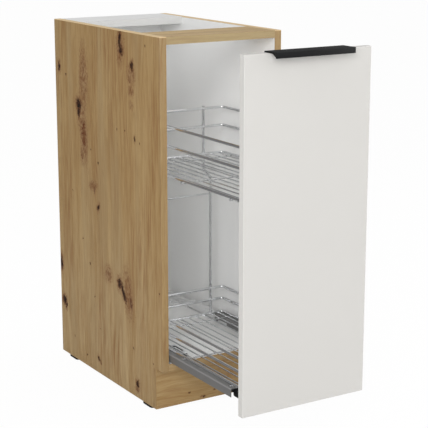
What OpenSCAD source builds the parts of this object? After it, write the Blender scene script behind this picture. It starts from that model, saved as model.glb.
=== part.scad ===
// Pull-out base cabinet: knotty oak carcass on glides, white laminated front with an edge pull,
// two chromed wire baskets on full-extension ball-bearing runners.
// X is the width, -Y the front, +Z up. The origin is on the floor under the centre of the
// whole part in the pose that is drawn, with the pull-out partly open.

/* [Carcass] */
// Outside width
carcass_w = 300; // [250:10:450]
// Outside depth, without the front
carcass_d = 500; // [470:5:600]
// Height from the floor to the top edge
carcass_h = 820; // [780:5:900]
// Thickness of the sides, bottom, plinth and top rails
board_t = 16; // [15:0.5:19]
// Thickness of the back panel
back_t = 3; // [2.5:0.5:5]
// How far the back panel laps into each side
rebate_w = 8; // [5:1:10]
// Thickness of the edge bands
band_t = 1; // [0.5:0.1:2]
// Height of the underside of the bottom panel
toe_h = 100; // [80:5:150]
// Depth of the notch in the sides, whose front edges the plinth covers
toe_d = 45; // [30:5:70]
// Depth of the front and back top rails
top_rail_d = 105; // [80:5:140]
// Radius of the worktop screw holes
worktop_hole_r = 2.5; // [2:0.25:3.5]

/* [Glides] */
// Height of a glide
glide_h = 5.5; // [3:0.5:10]
// Length of a glide
glide_l = 43; // [30:1:60]
// Width of a glide
glide_w = 14; // [10:0.5:15]
// Distance from the carcass front to the middle of the front glides
glide_front = 74; // [70:1:110]
// Distance from the carcass back to the middle of the back glides
glide_back = 54.5; // [40:0.5:90]

/* [Panel joints] */
// Diameter of the wooden dowels
dowel_d = 8; // [6:1:8]
// Length of the wooden dowels
dowel_l = 30; // [25:1:40]
// Depth of a dowel hole in a side
dowel_side = 11; // [8:0.5:12]
// Diameter of the cam locks
cam_d = 15; // [12:0.5:15]
// Depth of the cam locks
cam_h = 12.5; // [11:0.5:13]
// Distance from the end of a panel to the middle of a cam lock
cam_back = 24; // [20:1:34]
// Depth of a cam bolt in a side
bolt_side = 10; // [8:0.5:12]

/* [Front] */
// Thickness of the front
front_t = 16; // [15:0.5:22]
// Gap between the closed front and the carcass
front_gap = 2; // [1.5:0.5:4]
// Reveal at each side of the front
front_reveal = 2; // [1:0.5:4]
// Height of the lower edge of the front above the toe recess
front_lift = 2; // [0:0.5:6]
// Distance from the top of the front to the top of the carcass
front_drop = 5; // [3.5:0.5:10]
// Radius of the front's edges
front_edge_r = 0.8; // [0.4:0.1:0.9]

/* [Edge pull] */
// Length of the pull
pull_l = 184; // [100:2:240]
// How far the pull stands out from the front
pull_out = 23; // [18:0.5:35]
// Height of the pull's front lip
pull_lip = 11.5; // [8:0.5:16]
// Thickness of the pull's top plate
pull_t = 2.8; // [2:0.1:4]
// Thickness of the pull's flange behind the front
pull_flange_t = 1.4; // [1:0.1:1.5]
// Height of the flange behind the front
pull_flange_h = 20; // [14:1:30]

/* [Pull-out] */
// How far the pull-out stands open in the pose that is drawn
open_by = 296; // [0:1:400]
// Gap between a basket and the carcass wall
basket_gap = 9.5; // [6:0.5:20]
// Gap between the closed pull-out and the back panel
back_gap = 1.9; // [1:0.1:20]
// Diameter of the basket rails
rail_wire = 6; // [4:0.5:8]
// Diameter of the floor wires
floor_wire = 3; // [2:0.5:4]
// Bend radius of the basket corners
corner_r = 10; // [7:0.5:30]
// Height of the upper basket's base frame
upper_base = 527.1; // [350:0.1:600]
// Height of the upper basket's middle rail above its base frame
upper_mid = 62.9; // [40:0.1:80]
// Height of the upper basket's top rail above its base frame
upper_top = 104.4; // [85:0.1:140]
// Height of the lower basket's middle rail above its base frame
lower_mid = 32.8; // [20:0.1:40]
// Height of the lower basket's top rail above its base frame
lower_top = 61.1; // [50:0.1:100]
// Number of floor wires on each side of the middle
floor_count = 6; // [3:1:8]
// Distance from a side rail to the nearest floor wire
floor_edge = 12.75; // [9:0.05:20]
// Spacing of the two middle floor wires
floor_middle = 11.5; // [8:0.1:20]
// Number of cross wires under a floor
cross_count = 3; // [2:1:4]
// Distance from the front rail of a basket to the first cross wire
cross_first = 42; // [36:1:50]
// Spacing of the cross wires
cross_pitch = 202; // [120:1:205]

/* [Link frame] */
// Diameter of the upright rods behind the baskets
rod_d = 6.5; // [5:0.5:8]
// Distance from the baskets' side rails to each rod, below the upper basket
rod_inset = 29.2; // [20:0.1:45]
// How far each rod is bent inwards behind the upper basket
rod_jog = 19; // [12:0.1:30]
// Height at which the rods start to bend inwards
rod_bend_z = 464; // [300:1:480]
// Angle of the bend
rod_bend_a = 40; // [20:1:60]
// Bend radius of the rods
rod_bend_r = 12; // [10:0.5:20]
// Diameter of the cross bar between the rods
link_bar_d = 4; // [3:0.5:6]
// Height of the cross bar
link_bar_z = 431; // [250:1:450]
// Width of the flat bars behind the front
flat_bar_w = 20; // [14:1:30]
// Thickness of the flat bars
flat_bar_t = 2; // [1.5:0.5:4]
// Distance from the baskets' side rails to the middle of each flat bar
flat_bar_inset = 39.5; // [30:0.5:60]

/* [Runners] */
// Width of a drawer rail
runner_w = 26; // [25:0.5:30]
// Sheet thickness of a drawer rail
sheet_t = 1.5; // [1.2:0.1:2]
// Gap between a drawer rail and the carcass wall
runner_gap = 2.5; // [1.5:0.5:5]
// Height of a drawer rail's top face above the bottom panel
runner_h = 22.2; // [21.5:0.1:25]
// Height of a drawer rail's flanges
flange_h = 19.2; // [16:0.1:19.5]
// Distance from the back of the front to the drawer rails
rail_setback = 53; // [45:1:58]
// Distance from the carcass front to the cabinet rails
cabinet_rail_front = 5; // [3:1:20]
// Length of a cabinet rail
cabinet_rail_l = 448; // [380:1:450]
// Length of a middle rail
mid_rail_l = 400; // [360:1:410]
// Diameter of the bearing balls
ball_d = 3; // [2.5:0.1:3]
// Spacing of the balls in a cage
ball_pitch = 14; // [8:1:25]
// Length of an inner ball cage
inner_cage_l = 190; // [120:5:200]
// Length of an outer ball cage
outer_cage_l = 170; // [100:5:180]

/* [Hidden] */
$fn = 48;

// Finishes
oak = [0.66, 0.54, 0.37];
oak_band = [0.74, 0.63, 0.45];
white_board = [0.90, 0.90, 0.90];
front_white = [0.87, 0.86, 0.84];
chrome = [0.62, 0.64, 0.66];
zinc = [0.72, 0.73, 0.74];
rail_grey = [0.43, 0.43, 0.43];
black = [0.12, 0.12, 0.12];
beech = [0.80, 0.66, 0.46];
cage_green = [0.75, 0.78, 0.72];

// Clearances
fit = 0.05;       // round a dowel, bolt or screw, on the radius
seat = 0.2;       // between wires that rest on each other and on a rail
weld = 0.4;       // how deep welded wires sink into each other
ball_fit = 0.12;  // round a ball, on the radius
closed_gap = 0.3; // between the closed front's bumpers and the carcass

// Carcass planes
side_x = carcass_w / 2 - board_t;
front_y = -carcass_d / 2;
back_y = carcass_d / 2;
inner_back_y = back_y - back_t;
board_front_y = front_y + band_t;
floor_z = toe_h + board_t;
bottom_mid_z = toe_h + board_t / 2;
rail_mid_z = carcass_h - board_t / 2;
plinth_back_y = front_y + toe_d;
plinth_front_y = plinth_back_y - board_t;
edge_mid_x = carcass_w / 2 - board_t / 2;
plinth_mid_z = (glide_h + toe_h) / 2;
front_rail_y = front_y + top_rail_d / 2;
back_rail_y = inner_back_y - top_rail_d / 2;

// Front, in the pose that is drawn
front_back_y = front_y - front_gap - open_by;
front_face_y = front_back_y - front_t;
front_w = carcass_w - 2 * front_reveal;
front_z0 = toe_h + front_lift;
front_z1 = carcass_h - front_drop;
front_mid_z = (front_z0 + front_z1) / 2;
pull_y = front_face_y - pull_out;

// The row origin is under the middle of everything that is drawn
frame_shift = -(pull_y + back_y) / 2;

// Panel joint places on the left side: y, z
bottom_inset = 60;
bottom_cams = [front_y + bottom_inset, back_y - bottom_inset];
bottom_dowel_inset = 24;
bottom_dowels = [front_y + bottom_dowel_inset, 0, back_y - bottom_dowel_inset];
rail_dowel_gap = 37;
plinth_dowel_gap = 30;
flat_fittings = concat([for (y = bottom_cams) [y, bottom_mid_z]],
    [[front_rail_y, rail_mid_z], [back_rail_y, rail_mid_z]]);
dowel_places = concat([for (y = bottom_dowels) [y, bottom_mid_z]],
    [for (y = [front_rail_y, back_rail_y], s = [-1, 1]) [y + s * rail_dowel_gap, rail_mid_z]]);
plinth_dowels = [for (s = [-1, 1]) plinth_mid_z + s * plinth_dowel_gap];
bolt_thread_d = 5;
bolt_shank_d = 4.4;
bolt_neck_d = 3;
bolt_head_d = 6.4;
bolt_head_l = 3;
bolt_neck_l = 3.5;
bolt_bore_d = 8;
cam_mouth = 1;
worktop_hole_x = side_x - 59;
worktop_hole_inset = 20;

// Back panel pins
pin_d = 1.6;
pin_head_d = 4.5;
pin_head_t = 0.8;
pin_l = 16;
pin_edge = rebate_w / 2;
pin_rows = 5;

// Glide pins
glide_pin_d = 2.4;
glide_pin_l = 10;

// Wires
basket_x = side_x - basket_gap - rail_wire / 2;
basket_front_y = front_back_y + flat_bar_t + seat + rail_wire / 2;
floor_pitch = (basket_x - floor_edge - floor_middle / 2) / (floor_count - 1);
rod_low_x = basket_x - rod_inset;
rod_high_x = rod_low_x - rod_jog;
flat_bar_x = basket_x - flat_bar_inset;
rod_y = inner_back_y - back_gap - rod_d / 2 - open_by;
basket_back_y = rod_y - rod_d / 2 - seat - rail_wire / 2;
cross_drop = (rail_wire + floor_wire) / 2 - weld;
floor_drop = cross_drop - floor_wire + weld;
lower_base = floor_z + runner_h + seat + floor_wire / 2 + cross_drop;
rod_foot_z = lower_base - rail_wire / 2;
rod_above = 1;
rod_top_z = upper_base + upper_top + rail_wire / 2 + rod_above;
bend_thin = 0.06; // a bent length of rod is this much thinner
bend_over = 1.5;  // degrees by which a bend reaches into the straight lengths

// Runner sections, measured from the runner's own middle line and the bottom panel
runner_x = side_x - runner_gap - runner_w / 2;
runner_z = floor_z;
drawer_inner = runner_w / 2 - sheet_t;
bend_r = 2.5;
flange_z = runner_h - flange_h;
ball_r = ball_d / 2;
groove_r = ball_r + ball_fit;
ball_gap = 2.25;
mid_outer = drawer_inner - ball_gap;
mid_wall = 2.25;
mid_inner = mid_outer - mid_wall;
cabinet_half = mid_inner - ball_gap;
outer_ball_x = mid_outer + ball_gap / 2;
inner_ball_x = cabinet_half + ball_gap / 2;
running_gap = 2.2;
mid_top = runner_h - sheet_t - running_gap;
mid_web_t = 4;
mid_foot = 4;
cabinet_top = mid_top - mid_web_t - 1.8;
cabinet_base_t = 1.5;
cabinet_base_half = 10;
outer_ball_z = mid_top - 2;
inner_ball_z = mid_foot + 4.5;
cage_t = 0.8;
cage_side = 0.3;
cage_margin = 3;

// Runner lengths and places along Y when closed; in the drawn pose the drawer member has gone
// out by the whole of open_by, the middle member by half, and the cages by a quarter and three
// quarters of it
drawer_rail_y0 = front_back_y + rail_setback;
drawer_rail_y1 = inner_back_y - back_gap - open_by;
mid_lead = 27;
mid_rail_y0 = drawer_rail_y0 + mid_lead + open_by / 2;
cabinet_rail_y0 = front_y + cabinet_rail_front;
arm_clear = 3;
beam_y0 = front_y - front_gap + rail_setback + arm_clear;
inner_cage_lead = 90;
outer_cage_lead = 122;
inner_cage_y0 = mid_rail_y0 + inner_cage_lead + open_by / 4;
outer_cage_y0 = mid_rail_y0 + outer_cage_lead - open_by / 4;
rivet_d = 10;
rivet_h = 2.2;
rivet_side = 2;
rivet_behind = [22.6, 8.6]; // from the first and the second cross wire to the rivets behind them
rivet_y = [for (i = [0, 1]) basket_front_y + cross_first + i * cross_pitch + rivet_behind[i]];
rivet_head_r = (pow(rivet_d / 2, 2) + pow(rivet_h, 2)) / (2 * rivet_h);
stud_neck = 1.8;
hook_w = 7;
hook_h = 8;
index_lead = 107;
index_w = 3;
index_h = 6;
notch_back = 12;
notch_l = 41;
notch_h = 8;

// Feet and brackets of the cabinet rails
foot_l = 57;
foot_w = 18;
foot_clear = 1.5;
bracket_h = 18;
bracket_wall = 1.5;
slot_w = 8;
foot_screw_gap = 14;
foot_places = [cabinet_rail_y0 - 2, cabinet_rail_y0 + cabinet_rail_l - foot_l - 20];

// Front bracket of a drawer rail
arm_w = 12;
arm_h = 14;
arm_drop = 2.2;
tongue_l = 22;
plate_t = flat_bar_t;
plate_h = 40;
plate_lift = 2;
plate_screw_x = 7;
plate_screw_drop = 6;

// Screws
screw_d = 3.5;
screw_l = 14;
screw_head_d = 7;
screw_head_t = 2;
bar_screw_z = [lower_base + (lower_mid + lower_top) / 2, (lower_base + upper_base) / 2,
    upper_base + upper_mid / 2];

pull_screw_x = 70;
pull_screw_l = 12;
pull_screw_d = 3;
pull_head_d = 6;

// Bumpers
bumper_d = 8;
bumper_inset = 8;

module both_sides() {
    children();
    mirror([1, 0, 0]) children();
}

module on_side(s) {
    if (s > 0) children();
    else mirror([1, 0, 0]) children();
}

module placed() {
    translate([0, frame_shift, 0]) children();
}

module block(x0, x1, y0, y1, z0, z1) {
    translate([x0, y0, z0]) cube([x1 - x0, y1 - y0, z1 - z0]);
}

// Extrudes a section drawn in X and Z along Y
module along_y(y0, y1) {
    translate([0, y1, 0]) rotate([90, 0, 0]) linear_extrude(y1 - y0) children();
}

// Extrudes a section drawn in Y and Z along X
module along_x(x0, x1) {
    translate([x0, 0, 0]) rotate([90, 0, 90]) linear_extrude(x1 - x0) children();
}

module round_rect(x0, x1, y0, y1, r) {
    translate([x0 + r, y0]) square([x1 - x0 - 2 * r, y1 - y0]);
    translate([x0, y0 + r]) square([x1 - x0, y1 - y0 - 2 * r]);
    for (x = [x0 + r, x1 - r], y = [y0 + r, y1 - r]) translate([x, y]) circle(r);
}

module bar_x(x0, x1, y, z, d) {
    translate([x0, y, z]) rotate([0, 90, 0]) cylinder(h = x1 - x0, d = d);
}

module bar_y(y0, y1, x, z, d) {
    translate([x, y1, z]) rotate([90, 0, 0]) cylinder(h = y1 - y0, d = d);
}

// Carcass

// The plinth is joined to the front edges of the sides, so its fittings run along Y
module at_left_fittings() {
    for (p = flat_fittings) translate([-side_x, p[0], p[1]]) children();
    translate([-edge_mid_x, plinth_back_y, plinth_mid_z]) rotate([-90, 0, 90]) children();
}

module at_left_dowels() {
    for (p = dowel_places) translate([-side_x, p[0], p[1]]) rotate([0, 90, 0]) children();
    for (z = plinth_dowels) translate([-edge_mid_x, plinth_back_y, z]) rotate([-90, 0, 0])
        children();
}

// Everything that is drilled for the joints: local +X runs into the panel, the cam opens at -Z
module fitting_holes() {
    translate([-bolt_side - 1, 0, 0]) rotate([0, 90, 0])
        cylinder(h = bolt_side + 1, d = bolt_thread_d + 2 * fit);
    rotate([0, 90, 0]) cylinder(h = cam_back, d = bolt_bore_d);
    translate([cam_back, 0, -board_t / 2 - 1]) cylinder(h = cam_h + 1, d = cam_d + 2 * fit);
}

module dowel_holes() {
    translate([0, 0, -dowel_side]) cylinder(h = dowel_l + 1, d = dowel_d + 2 * fit);
}

module joint_holes() {
    both_sides() {
        at_left_fittings() fitting_holes();
        at_left_dowels() dowel_holes();
    }
}

module side_outline() {
    difference() {
        translate([board_front_y, glide_h])
            square([back_y - board_front_y, carcass_h - band_t - glide_h]);
        translate([front_y - 1, glide_h - 1]) square([toe_d + 1, toe_h - glide_h + 1]);
    }
}

// The left side; the right one is its mirror image
module side_panel(s) {
    placed() on_side(-s) difference() {
        along_x(-carcass_w / 2, -side_x) side_outline();
        block(-side_x - rebate_w, -side_x + 1, inner_back_y, back_y + 1, toe_h, carcass_h);
        at_left_fittings() fitting_holes();
        at_left_dowels() dowel_holes();
        back_pins(fit);
        glide_pins(fit);
    }
}

module left_side() {
    color(oak) side_panel(-1);
}

module right_side() {
    color(oak) side_panel(1);
}

module bottom_panel() {
    color(white_board) placed() difference() {
        block(-side_x, side_x, board_front_y, inner_back_y, toe_h, floor_z);
        joint_holes();
        back_pins(fit);
        foot_screws(fit);
    }
}

module plinth() {
    color(oak) placed() difference() {
        block(-carcass_w / 2 + band_t, carcass_w / 2 - band_t, plinth_front_y, plinth_back_y,
            glide_h, toe_h);
        joint_holes();
    }
}

module worktop_holes() {
    for (x = [-worktop_hole_x, worktop_hole_x],
         y = [front_y + top_rail_d - worktop_hole_inset,
              inner_back_y - top_rail_d + worktop_hole_inset])
        translate([x, y, carcass_h - board_t - 1]) cylinder(h = board_t + 2, r = worktop_hole_r);
}

module front_top_rail() {
    color(oak) placed() difference() {
        block(-side_x, side_x, board_front_y, front_y + top_rail_d,
            carcass_h - board_t, carcass_h);
        joint_holes();
        worktop_holes();
    }
}

module back_top_rail() {
    color(white_board) placed() difference() {
        block(-side_x, side_x, inner_back_y - top_rail_d, inner_back_y,
            carcass_h - board_t, carcass_h);
        joint_holes();
        worktop_holes();
        back_pins(fit);
    }
}

module back_panel() {
    color(white_board) placed() difference() {
        block(-side_x - rebate_w, side_x + rebate_w, inner_back_y, back_y, toe_h,
            carcass_h - band_t);
        back_pins(fit);
    }
}

module carcass_edge_bands() {
    color(oak_band) placed() {
        both_sides() {
            block(-carcass_w / 2, -side_x, front_y, board_front_y, toe_h, carcass_h);
            block(-carcass_w / 2, -side_x, board_front_y, back_y, carcass_h - band_t, carcass_h);
            block(-carcass_w / 2, -carcass_w / 2 + band_t, plinth_front_y, plinth_back_y,
                glide_h, toe_h);
        }
        block(-side_x, side_x, front_y, board_front_y, toe_h, floor_z);
        block(-side_x, side_x, front_y, board_front_y, carcass_h - board_t, carcass_h);
    }
}

module at_glides() {
    for (y = [front_y + glide_front, back_y - glide_back]) translate([-edge_mid_x, y, 0]) children();
}

module glide_pins(extra) {
    at_glides() for (s = [-1, 1]) translate([0, s * glide_l / 4, glide_h - 1])
        cylinder(h = glide_pin_l + 1, r = glide_pin_d / 2 + extra);
}

module glides() {
    color(black) placed() both_sides() {
        at_glides() linear_extrude(glide_h) {
            square([glide_w, glide_l - glide_w], center = true);
            for (s = [-1, 1]) translate([0, s * (glide_l - glide_w) / 2]) circle(d = glide_w);
        }
        glide_pins(0);
    }
}

module dowels() {
    color(beech) placed() both_sides() at_left_dowels()
        translate([0, 0, -dowel_side + fit]) cylinder(h = dowel_l, d = dowel_d);
}

// Screwed into the side, with a necked head that the cam lock pulls on
module cam_bolt() {
    shank_l = cam_back - bolt_neck_l - bolt_head_l;
    rotate([0, 90, 0]) rotate_extrude() {
        translate([0, -bolt_side]) square([bolt_thread_d / 2, bolt_side]);
        translate([0, -1]) square([bolt_shank_d / 2, shank_l + 1]);
        translate([0, shank_l - 1]) square([bolt_neck_d / 2, bolt_neck_l + 2]);
        translate([0, shank_l + bolt_neck_l]) square([bolt_head_d / 2, bolt_head_l]);
    }
}

module cam_bolts() {
    color(zinc) placed() both_sides() at_left_fittings() cam_bolt();
}

// A drum with a mouth for the bolt's head, a hollow behind it and a cross slot in its face
module cam_lock() {
    hollow_d = bolt_head_d + 2 * cam_mouth;
    slot_l = cam_d * 0.6;
    slot_t = 1.5;
    translate([cam_back, 0, 0]) difference() {
        translate([0, 0, -board_t / 2]) cylinder(h = cam_h - 0.2, d = cam_d);
        translate([-cam_d, 0, 0]) rotate([0, 90, 0]) cylinder(h = cam_d, d = hollow_d);
        sphere(d = hollow_d);
        for (a = [0, 90]) rotate([0, 0, a]) translate([0, 0, -board_t / 2])
            cube([slot_l, slot_t, 2 * slot_t], center = true);
    }
}

module cam_locks() {
    color(zinc) placed() both_sides() at_left_fittings() cam_lock();
}

// Pins run down both rebates and across the bottom and the back top rail
module back_pins(extra) {
    z0 = floor_z + bottom_inset;
    z1 = carcass_h - board_t - bottom_inset;
    side_pins = [for (i = [0:pin_rows - 1]) [-side_x - pin_edge,
        z0 + (z1 - z0) * i / (pin_rows - 1)]];
    cross_pins = [for (z = [bottom_mid_z, rail_mid_z]) [-side_x / 2, z]];
    both_sides() for (p = concat(side_pins, cross_pins)) translate([p[0], back_y, p[1]])
        rotate([90, 0, 0]) {
            cylinder(h = pin_l, r = pin_d / 2 + extra);
            translate([0, 0, -extra]) cylinder(h = pin_head_t + 2 * extra,
                r = pin_head_d / 2 + extra);
        }
}

module back_panel_pins() {
    color(zinc) placed() back_pins(0);
}

// Runners

module at_runner(s) {
    placed() on_side(s) translate([runner_x, 0, runner_z]) children();
}

module ball_grooves(y0, y1, x, z) {
    for (s = [-1, 1]) bar_y(y0, y1, s * x, z, 2 * groove_r);
}

// A box beam on a base strip, with two feet that reach inwards to be screwed down; the beam
// stops short of the strip's front end, where the front bracket's arm comes to rest
module cabinet_rail(s) {
    y1 = cabinet_rail_y0 + cabinet_rail_l;
    at_runner(s) difference() {
        union() {
            along_y(cabinet_rail_y0, y1)
                translate([-cabinet_base_half, 0]) square([2 * cabinet_base_half, cabinet_base_t]);
            along_y(beam_y0, y1) difference() {
                translate([-cabinet_half, 0]) square([2 * cabinet_half, cabinet_top]);
                translate([-cabinet_half + sheet_t, cabinet_base_t])
                    square([2 * (cabinet_half - sheet_t), inner_ball_z - 5]);
            }
            for (y = foot_places)
                block(-runner_w / 2 - foot_clear - foot_w, -cabinet_half, y, y + foot_l,
                    0, cabinet_base_t);
        }
        ball_grooves(beam_y0 - 1, y1 + 1, inner_ball_x, inner_ball_z);
        foot_screws_local(fit);
    }
}

module left_cabinet_rail() {
    color(zinc) cabinet_rail(-1);
}

module right_cabinet_rail() {
    color(zinc) cabinet_rail(1);
}

module foot_screws_local(extra) {
    for (y = foot_places, s = [-1, 1])
        translate([-runner_w / 2 - foot_clear - foot_w / 2, y + foot_l / 2 + s * foot_screw_gap,
                   cabinet_base_t]) {
            translate([0, 0, -screw_l]) cylinder(h = screw_l, r = screw_d / 2 + extra);
            cylinder(h = screw_head_t, r = screw_head_d / 2 + extra);
        }
}

module foot_screws(extra) {
    both_sides() translate([runner_x, 0, runner_z]) foot_screws_local(extra);
}

module rail_fixing_screws() {
    color(zinc) placed() foot_screws(0);
}

// A pressed saddle over the front foot of each cabinet rail, with a slot to reach its screws
module rail_bracket() {
    x0 = -runner_w / 2 - foot_clear - foot_w;
    x1 = -runner_w / 2 - foot_clear;
    y0 = foot_places[0];
    y1 = y0 + foot_l;
    translate([0, 0, cabinet_base_t]) difference() {
        along_x(x0, x1) difference() {
            round_rect(y0, y1, -2 * bend_r, bracket_h, bend_r);
            round_rect(y0 + bracket_wall, y1 - bracket_wall, -2 * bend_r - 1,
                bracket_h - bracket_wall, bend_r - bracket_wall);
            translate([y0 - 1, -2 * bend_r - 1]) square([foot_l + 2, 2 * bend_r + 1]);
        }
        translate([(x0 + x1) / 2, (y0 + y1) / 2, bracket_h - bracket_wall - 1])
            linear_extrude(bracket_wall + 2) {
                square([slot_w, 2 * foot_screw_gap], center = true);
                for (s = [-1, 1]) translate([0, s * foot_screw_gap]) circle(d = slot_w);
            }
    }
}

module rail_brackets() {
    color(zinc) placed() both_sides() translate([runner_x, 0, runner_z]) rail_bracket();
}

// An inverted channel that runs between two pairs of ball rows
module mid_rail(s) {
    y1 = mid_rail_y0 + mid_rail_l;
    at_runner(s) difference() {
        along_y(mid_rail_y0, y1) difference() {
            round_rect(-mid_outer, mid_outer, mid_foot, mid_top, 1);
            translate([-mid_inner, mid_foot - 1])
                square([2 * mid_inner, mid_top - mid_web_t - mid_foot + 1]);
        }
        ball_grooves(mid_rail_y0 - 1, y1 + 1, inner_ball_x, inner_ball_z);
        ball_grooves(mid_rail_y0 - 1, y1 + 1, outer_ball_x, outer_ball_z);
    }
}

module left_mid_rail() {
    color(zinc) mid_rail(-1);
}

module right_mid_rail() {
    color(zinc) mid_rail(1);
}

function ball_rows(l) = let (n = floor((l / 2 - 2 * cage_margin - ball_pitch) / ball_pitch / 2) + 1)
    concat([for (i = [0:n - 1]) cage_margin + ball_d + i * ball_pitch],
        [for (i = [0:n - 1]) l - cage_margin - ball_d - i * ball_pitch]);

module balls(s, y0, l, x, z) {
    at_runner(s) for (y = ball_rows(l), side = [-1, 1]) translate([side * x, y0 + y, z])
        sphere(d = ball_d);
}

// A thin folded strip with a hole for every ball
module cage(s, y0, l, x, z, top) {
    half = x + cage_side + cage_t / 2;
    at_runner(s) difference() {
        along_y(y0, y0 + l) difference() {
            translate([-half, z - ball_d]) square([2 * half, top - z + ball_d]);
            translate([-half + cage_t, z - ball_d - 1])
                square([2 * (half - cage_t), top - cage_t - z + ball_d + 1]);
        }
        for (y = ball_rows(l)) bar_x(-half - 1, half + 1, y0 + y, z, 2 * groove_r);
    }
}

module inner_cage(s) {
    cage(s, inner_cage_y0, inner_cage_l, inner_ball_x, inner_ball_z, cabinet_top + 1.3);
}

module outer_cage(s) {
    cage(s, outer_cage_y0, outer_cage_l, outer_ball_x, outer_ball_z, mid_top + 1.5);
}

module left_inner_cage() {
    color(cage_green) inner_cage(-1);
}

module right_inner_cage() {
    color(cage_green) inner_cage(1);
}

module left_outer_cage() {
    color(cage_green) outer_cage(-1);
}

module right_outer_cage() {
    color(cage_green) outer_cage(1);
}

module left_inner_balls() {
    color(chrome) balls(-1, inner_cage_y0, inner_cage_l, inner_ball_x, inner_ball_z);
}

module right_inner_balls() {
    color(chrome) balls(1, inner_cage_y0, inner_cage_l, inner_ball_x, inner_ball_z);
}

module left_outer_balls() {
    color(chrome) balls(-1, outer_cage_y0, outer_cage_l, outer_ball_x, outer_ball_z);
}

module right_outer_balls() {
    color(chrome) balls(1, outer_cage_y0, outer_cage_l, outer_ball_x, outer_ball_z);
}

module drawer_section() {
    difference() {
        round_rect(-runner_w / 2, runner_w / 2, flange_z, runner_h, bend_r);
        round_rect(-drawer_inner, drawer_inner, flange_z - bend_r, runner_h - sheet_t,
            bend_r - sheet_t);
    }
}

// The folded channel that the baskets rest on, with a hook behind the lower basket, a notch in
// the inner flange and a small index slot in the outer one
module drawer_rail(s) {
    y0 = drawer_rail_y0;
    y1 = drawer_rail_y1;
    hook_y = basket_back_y + rail_wire / 2 + seat;
    at_runner(s) difference() {
        union() {
            along_y(y0, y1) drawer_section();
            block(-runner_w / 2 + bend_r, -runner_w / 2 + bend_r + hook_w,
                hook_y, hook_y + sheet_t, runner_h - sheet_t / 2, runner_h + hook_h);
        }
        ball_grooves(y0 - 1, y1 + 1, outer_ball_x, outer_ball_z);
        block(-runner_w / 2 - 1, -runner_w / 2 + sheet_t + 1, y1 - notch_back - notch_l,
            y1 - notch_back, flange_z - 1, flange_z + notch_h);
        block(drawer_inner - 1, runner_w / 2 + 1, y0 + index_lead, y0 + index_lead + index_w,
            flange_z + 1, flange_z + 1 + index_h);
        rivets_local(fit);
    }
}

module left_drawer_rail() {
    color(rail_grey) drawer_rail(-1);
}

module right_drawer_rail() {
    color(rail_grey) drawer_rail(1);
}

module rivets_local(extra) {
    for (y = rivet_y) translate([rivet_side, y, runner_h - sheet_t - extra])
        cylinder(h = sheet_t + 2 * extra, r = rivet_d / 4 + extra);
}

module domed_head() {
    intersection() {
        translate([0, 0, rivet_h - rivet_head_r]) sphere(r = rivet_head_r);
        cylinder(h = rivet_h + 1, d = rivet_d);
    }
}

// Domed heads on the top face of each drawer rail
module rail_rivets() {
    color(rail_grey) placed() both_sides() translate([runner_x, 0, runner_z]) {
        rivets_local(0);
        for (y = rivet_y) translate([rivet_side, y, runner_h]) domed_head();
    }
}

// Baskets

module quarter_bend(x, y, a, r, d) {
    translate([x, y, 0]) rotate([0, 0, a]) rotate_extrude(angle = 90) translate([r, 0])
        circle(d = d);
}

// A closed rail round the basket at one height
module rail_loop(z) {
    x = basket_x - corner_r;
    y0 = basket_front_y + corner_r;
    y1 = basket_back_y - corner_r;
    translate([0, 0, z]) {
        bar_x(-x, x, basket_front_y, 0, rail_wire);
        bar_x(-x, x, basket_back_y, 0, rail_wire);
        bar_y(y0, y1, -basket_x, 0, rail_wire);
        bar_y(y0, y1, basket_x, 0, rail_wire);
        quarter_bend(x, y1, 0, corner_r, rail_wire);
        quarter_bend(-x, y1, 90, corner_r, rail_wire);
        quarter_bend(-x, y0, 180, corner_r, rail_wire);
        quarter_bend(x, y0, 270, corner_r, rail_wire);
    }
}

// A welded mat: base frame, cross wires under it and floor wires from front to back
module basket_floor(z) {
    rail_loop(z);
    for (i = [0:cross_count - 1])
        bar_x(-basket_x, basket_x, basket_front_y + cross_first + i * cross_pitch,
            z - cross_drop, floor_wire);
    for (i = [0:floor_count - 1], s = [-1, 1])
        bar_y(basket_front_y, basket_back_y, s * (floor_middle / 2 + i * floor_pitch),
            z - floor_drop, floor_wire);
}

// Studs under the side rails, as the lower basket has where it is riveted to its rails
module basket_studs(z) {
    both_sides() for (y = rivet_y) translate([basket_x, y, z - rail_wire / 2 - stud_neck]) {
        cylinder(h = stud_neck + weld, d = rivet_d / 2);
        mirror([0, 0, 1]) domed_head();
    }
}

module upper_basket_floor() {
    color(chrome) placed() {
        basket_floor(upper_base);
        basket_studs(upper_base);
    }
}

module lower_basket_floor() {
    color(chrome) placed() basket_floor(lower_base);
}

module upper_basket_rails() {
    color(chrome) placed() {
        rail_loop(upper_base + upper_mid);
        rail_loop(upper_base + upper_top);
    }
}

module lower_basket_rails() {
    color(chrome) placed() {
        rail_loop(lower_base + lower_mid);
        rail_loop(lower_base + lower_top);
    }
}

// An arc that leaves the origin along +Z and bends towards +X
module bend(r, a, d) {
    translate([r, 0, 0]) rotate([90, 0, 0]) rotate([0, 0, 180 - a - bend_over])
        rotate_extrude(angle = a + 2 * bend_over) translate([r, 0]) circle(d = d - bend_thin);
}

module after_bend(r, a) {
    translate([r - r * cos(a), 0, r * sin(a)]) rotate([0, a, 0]) children();
}

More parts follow.
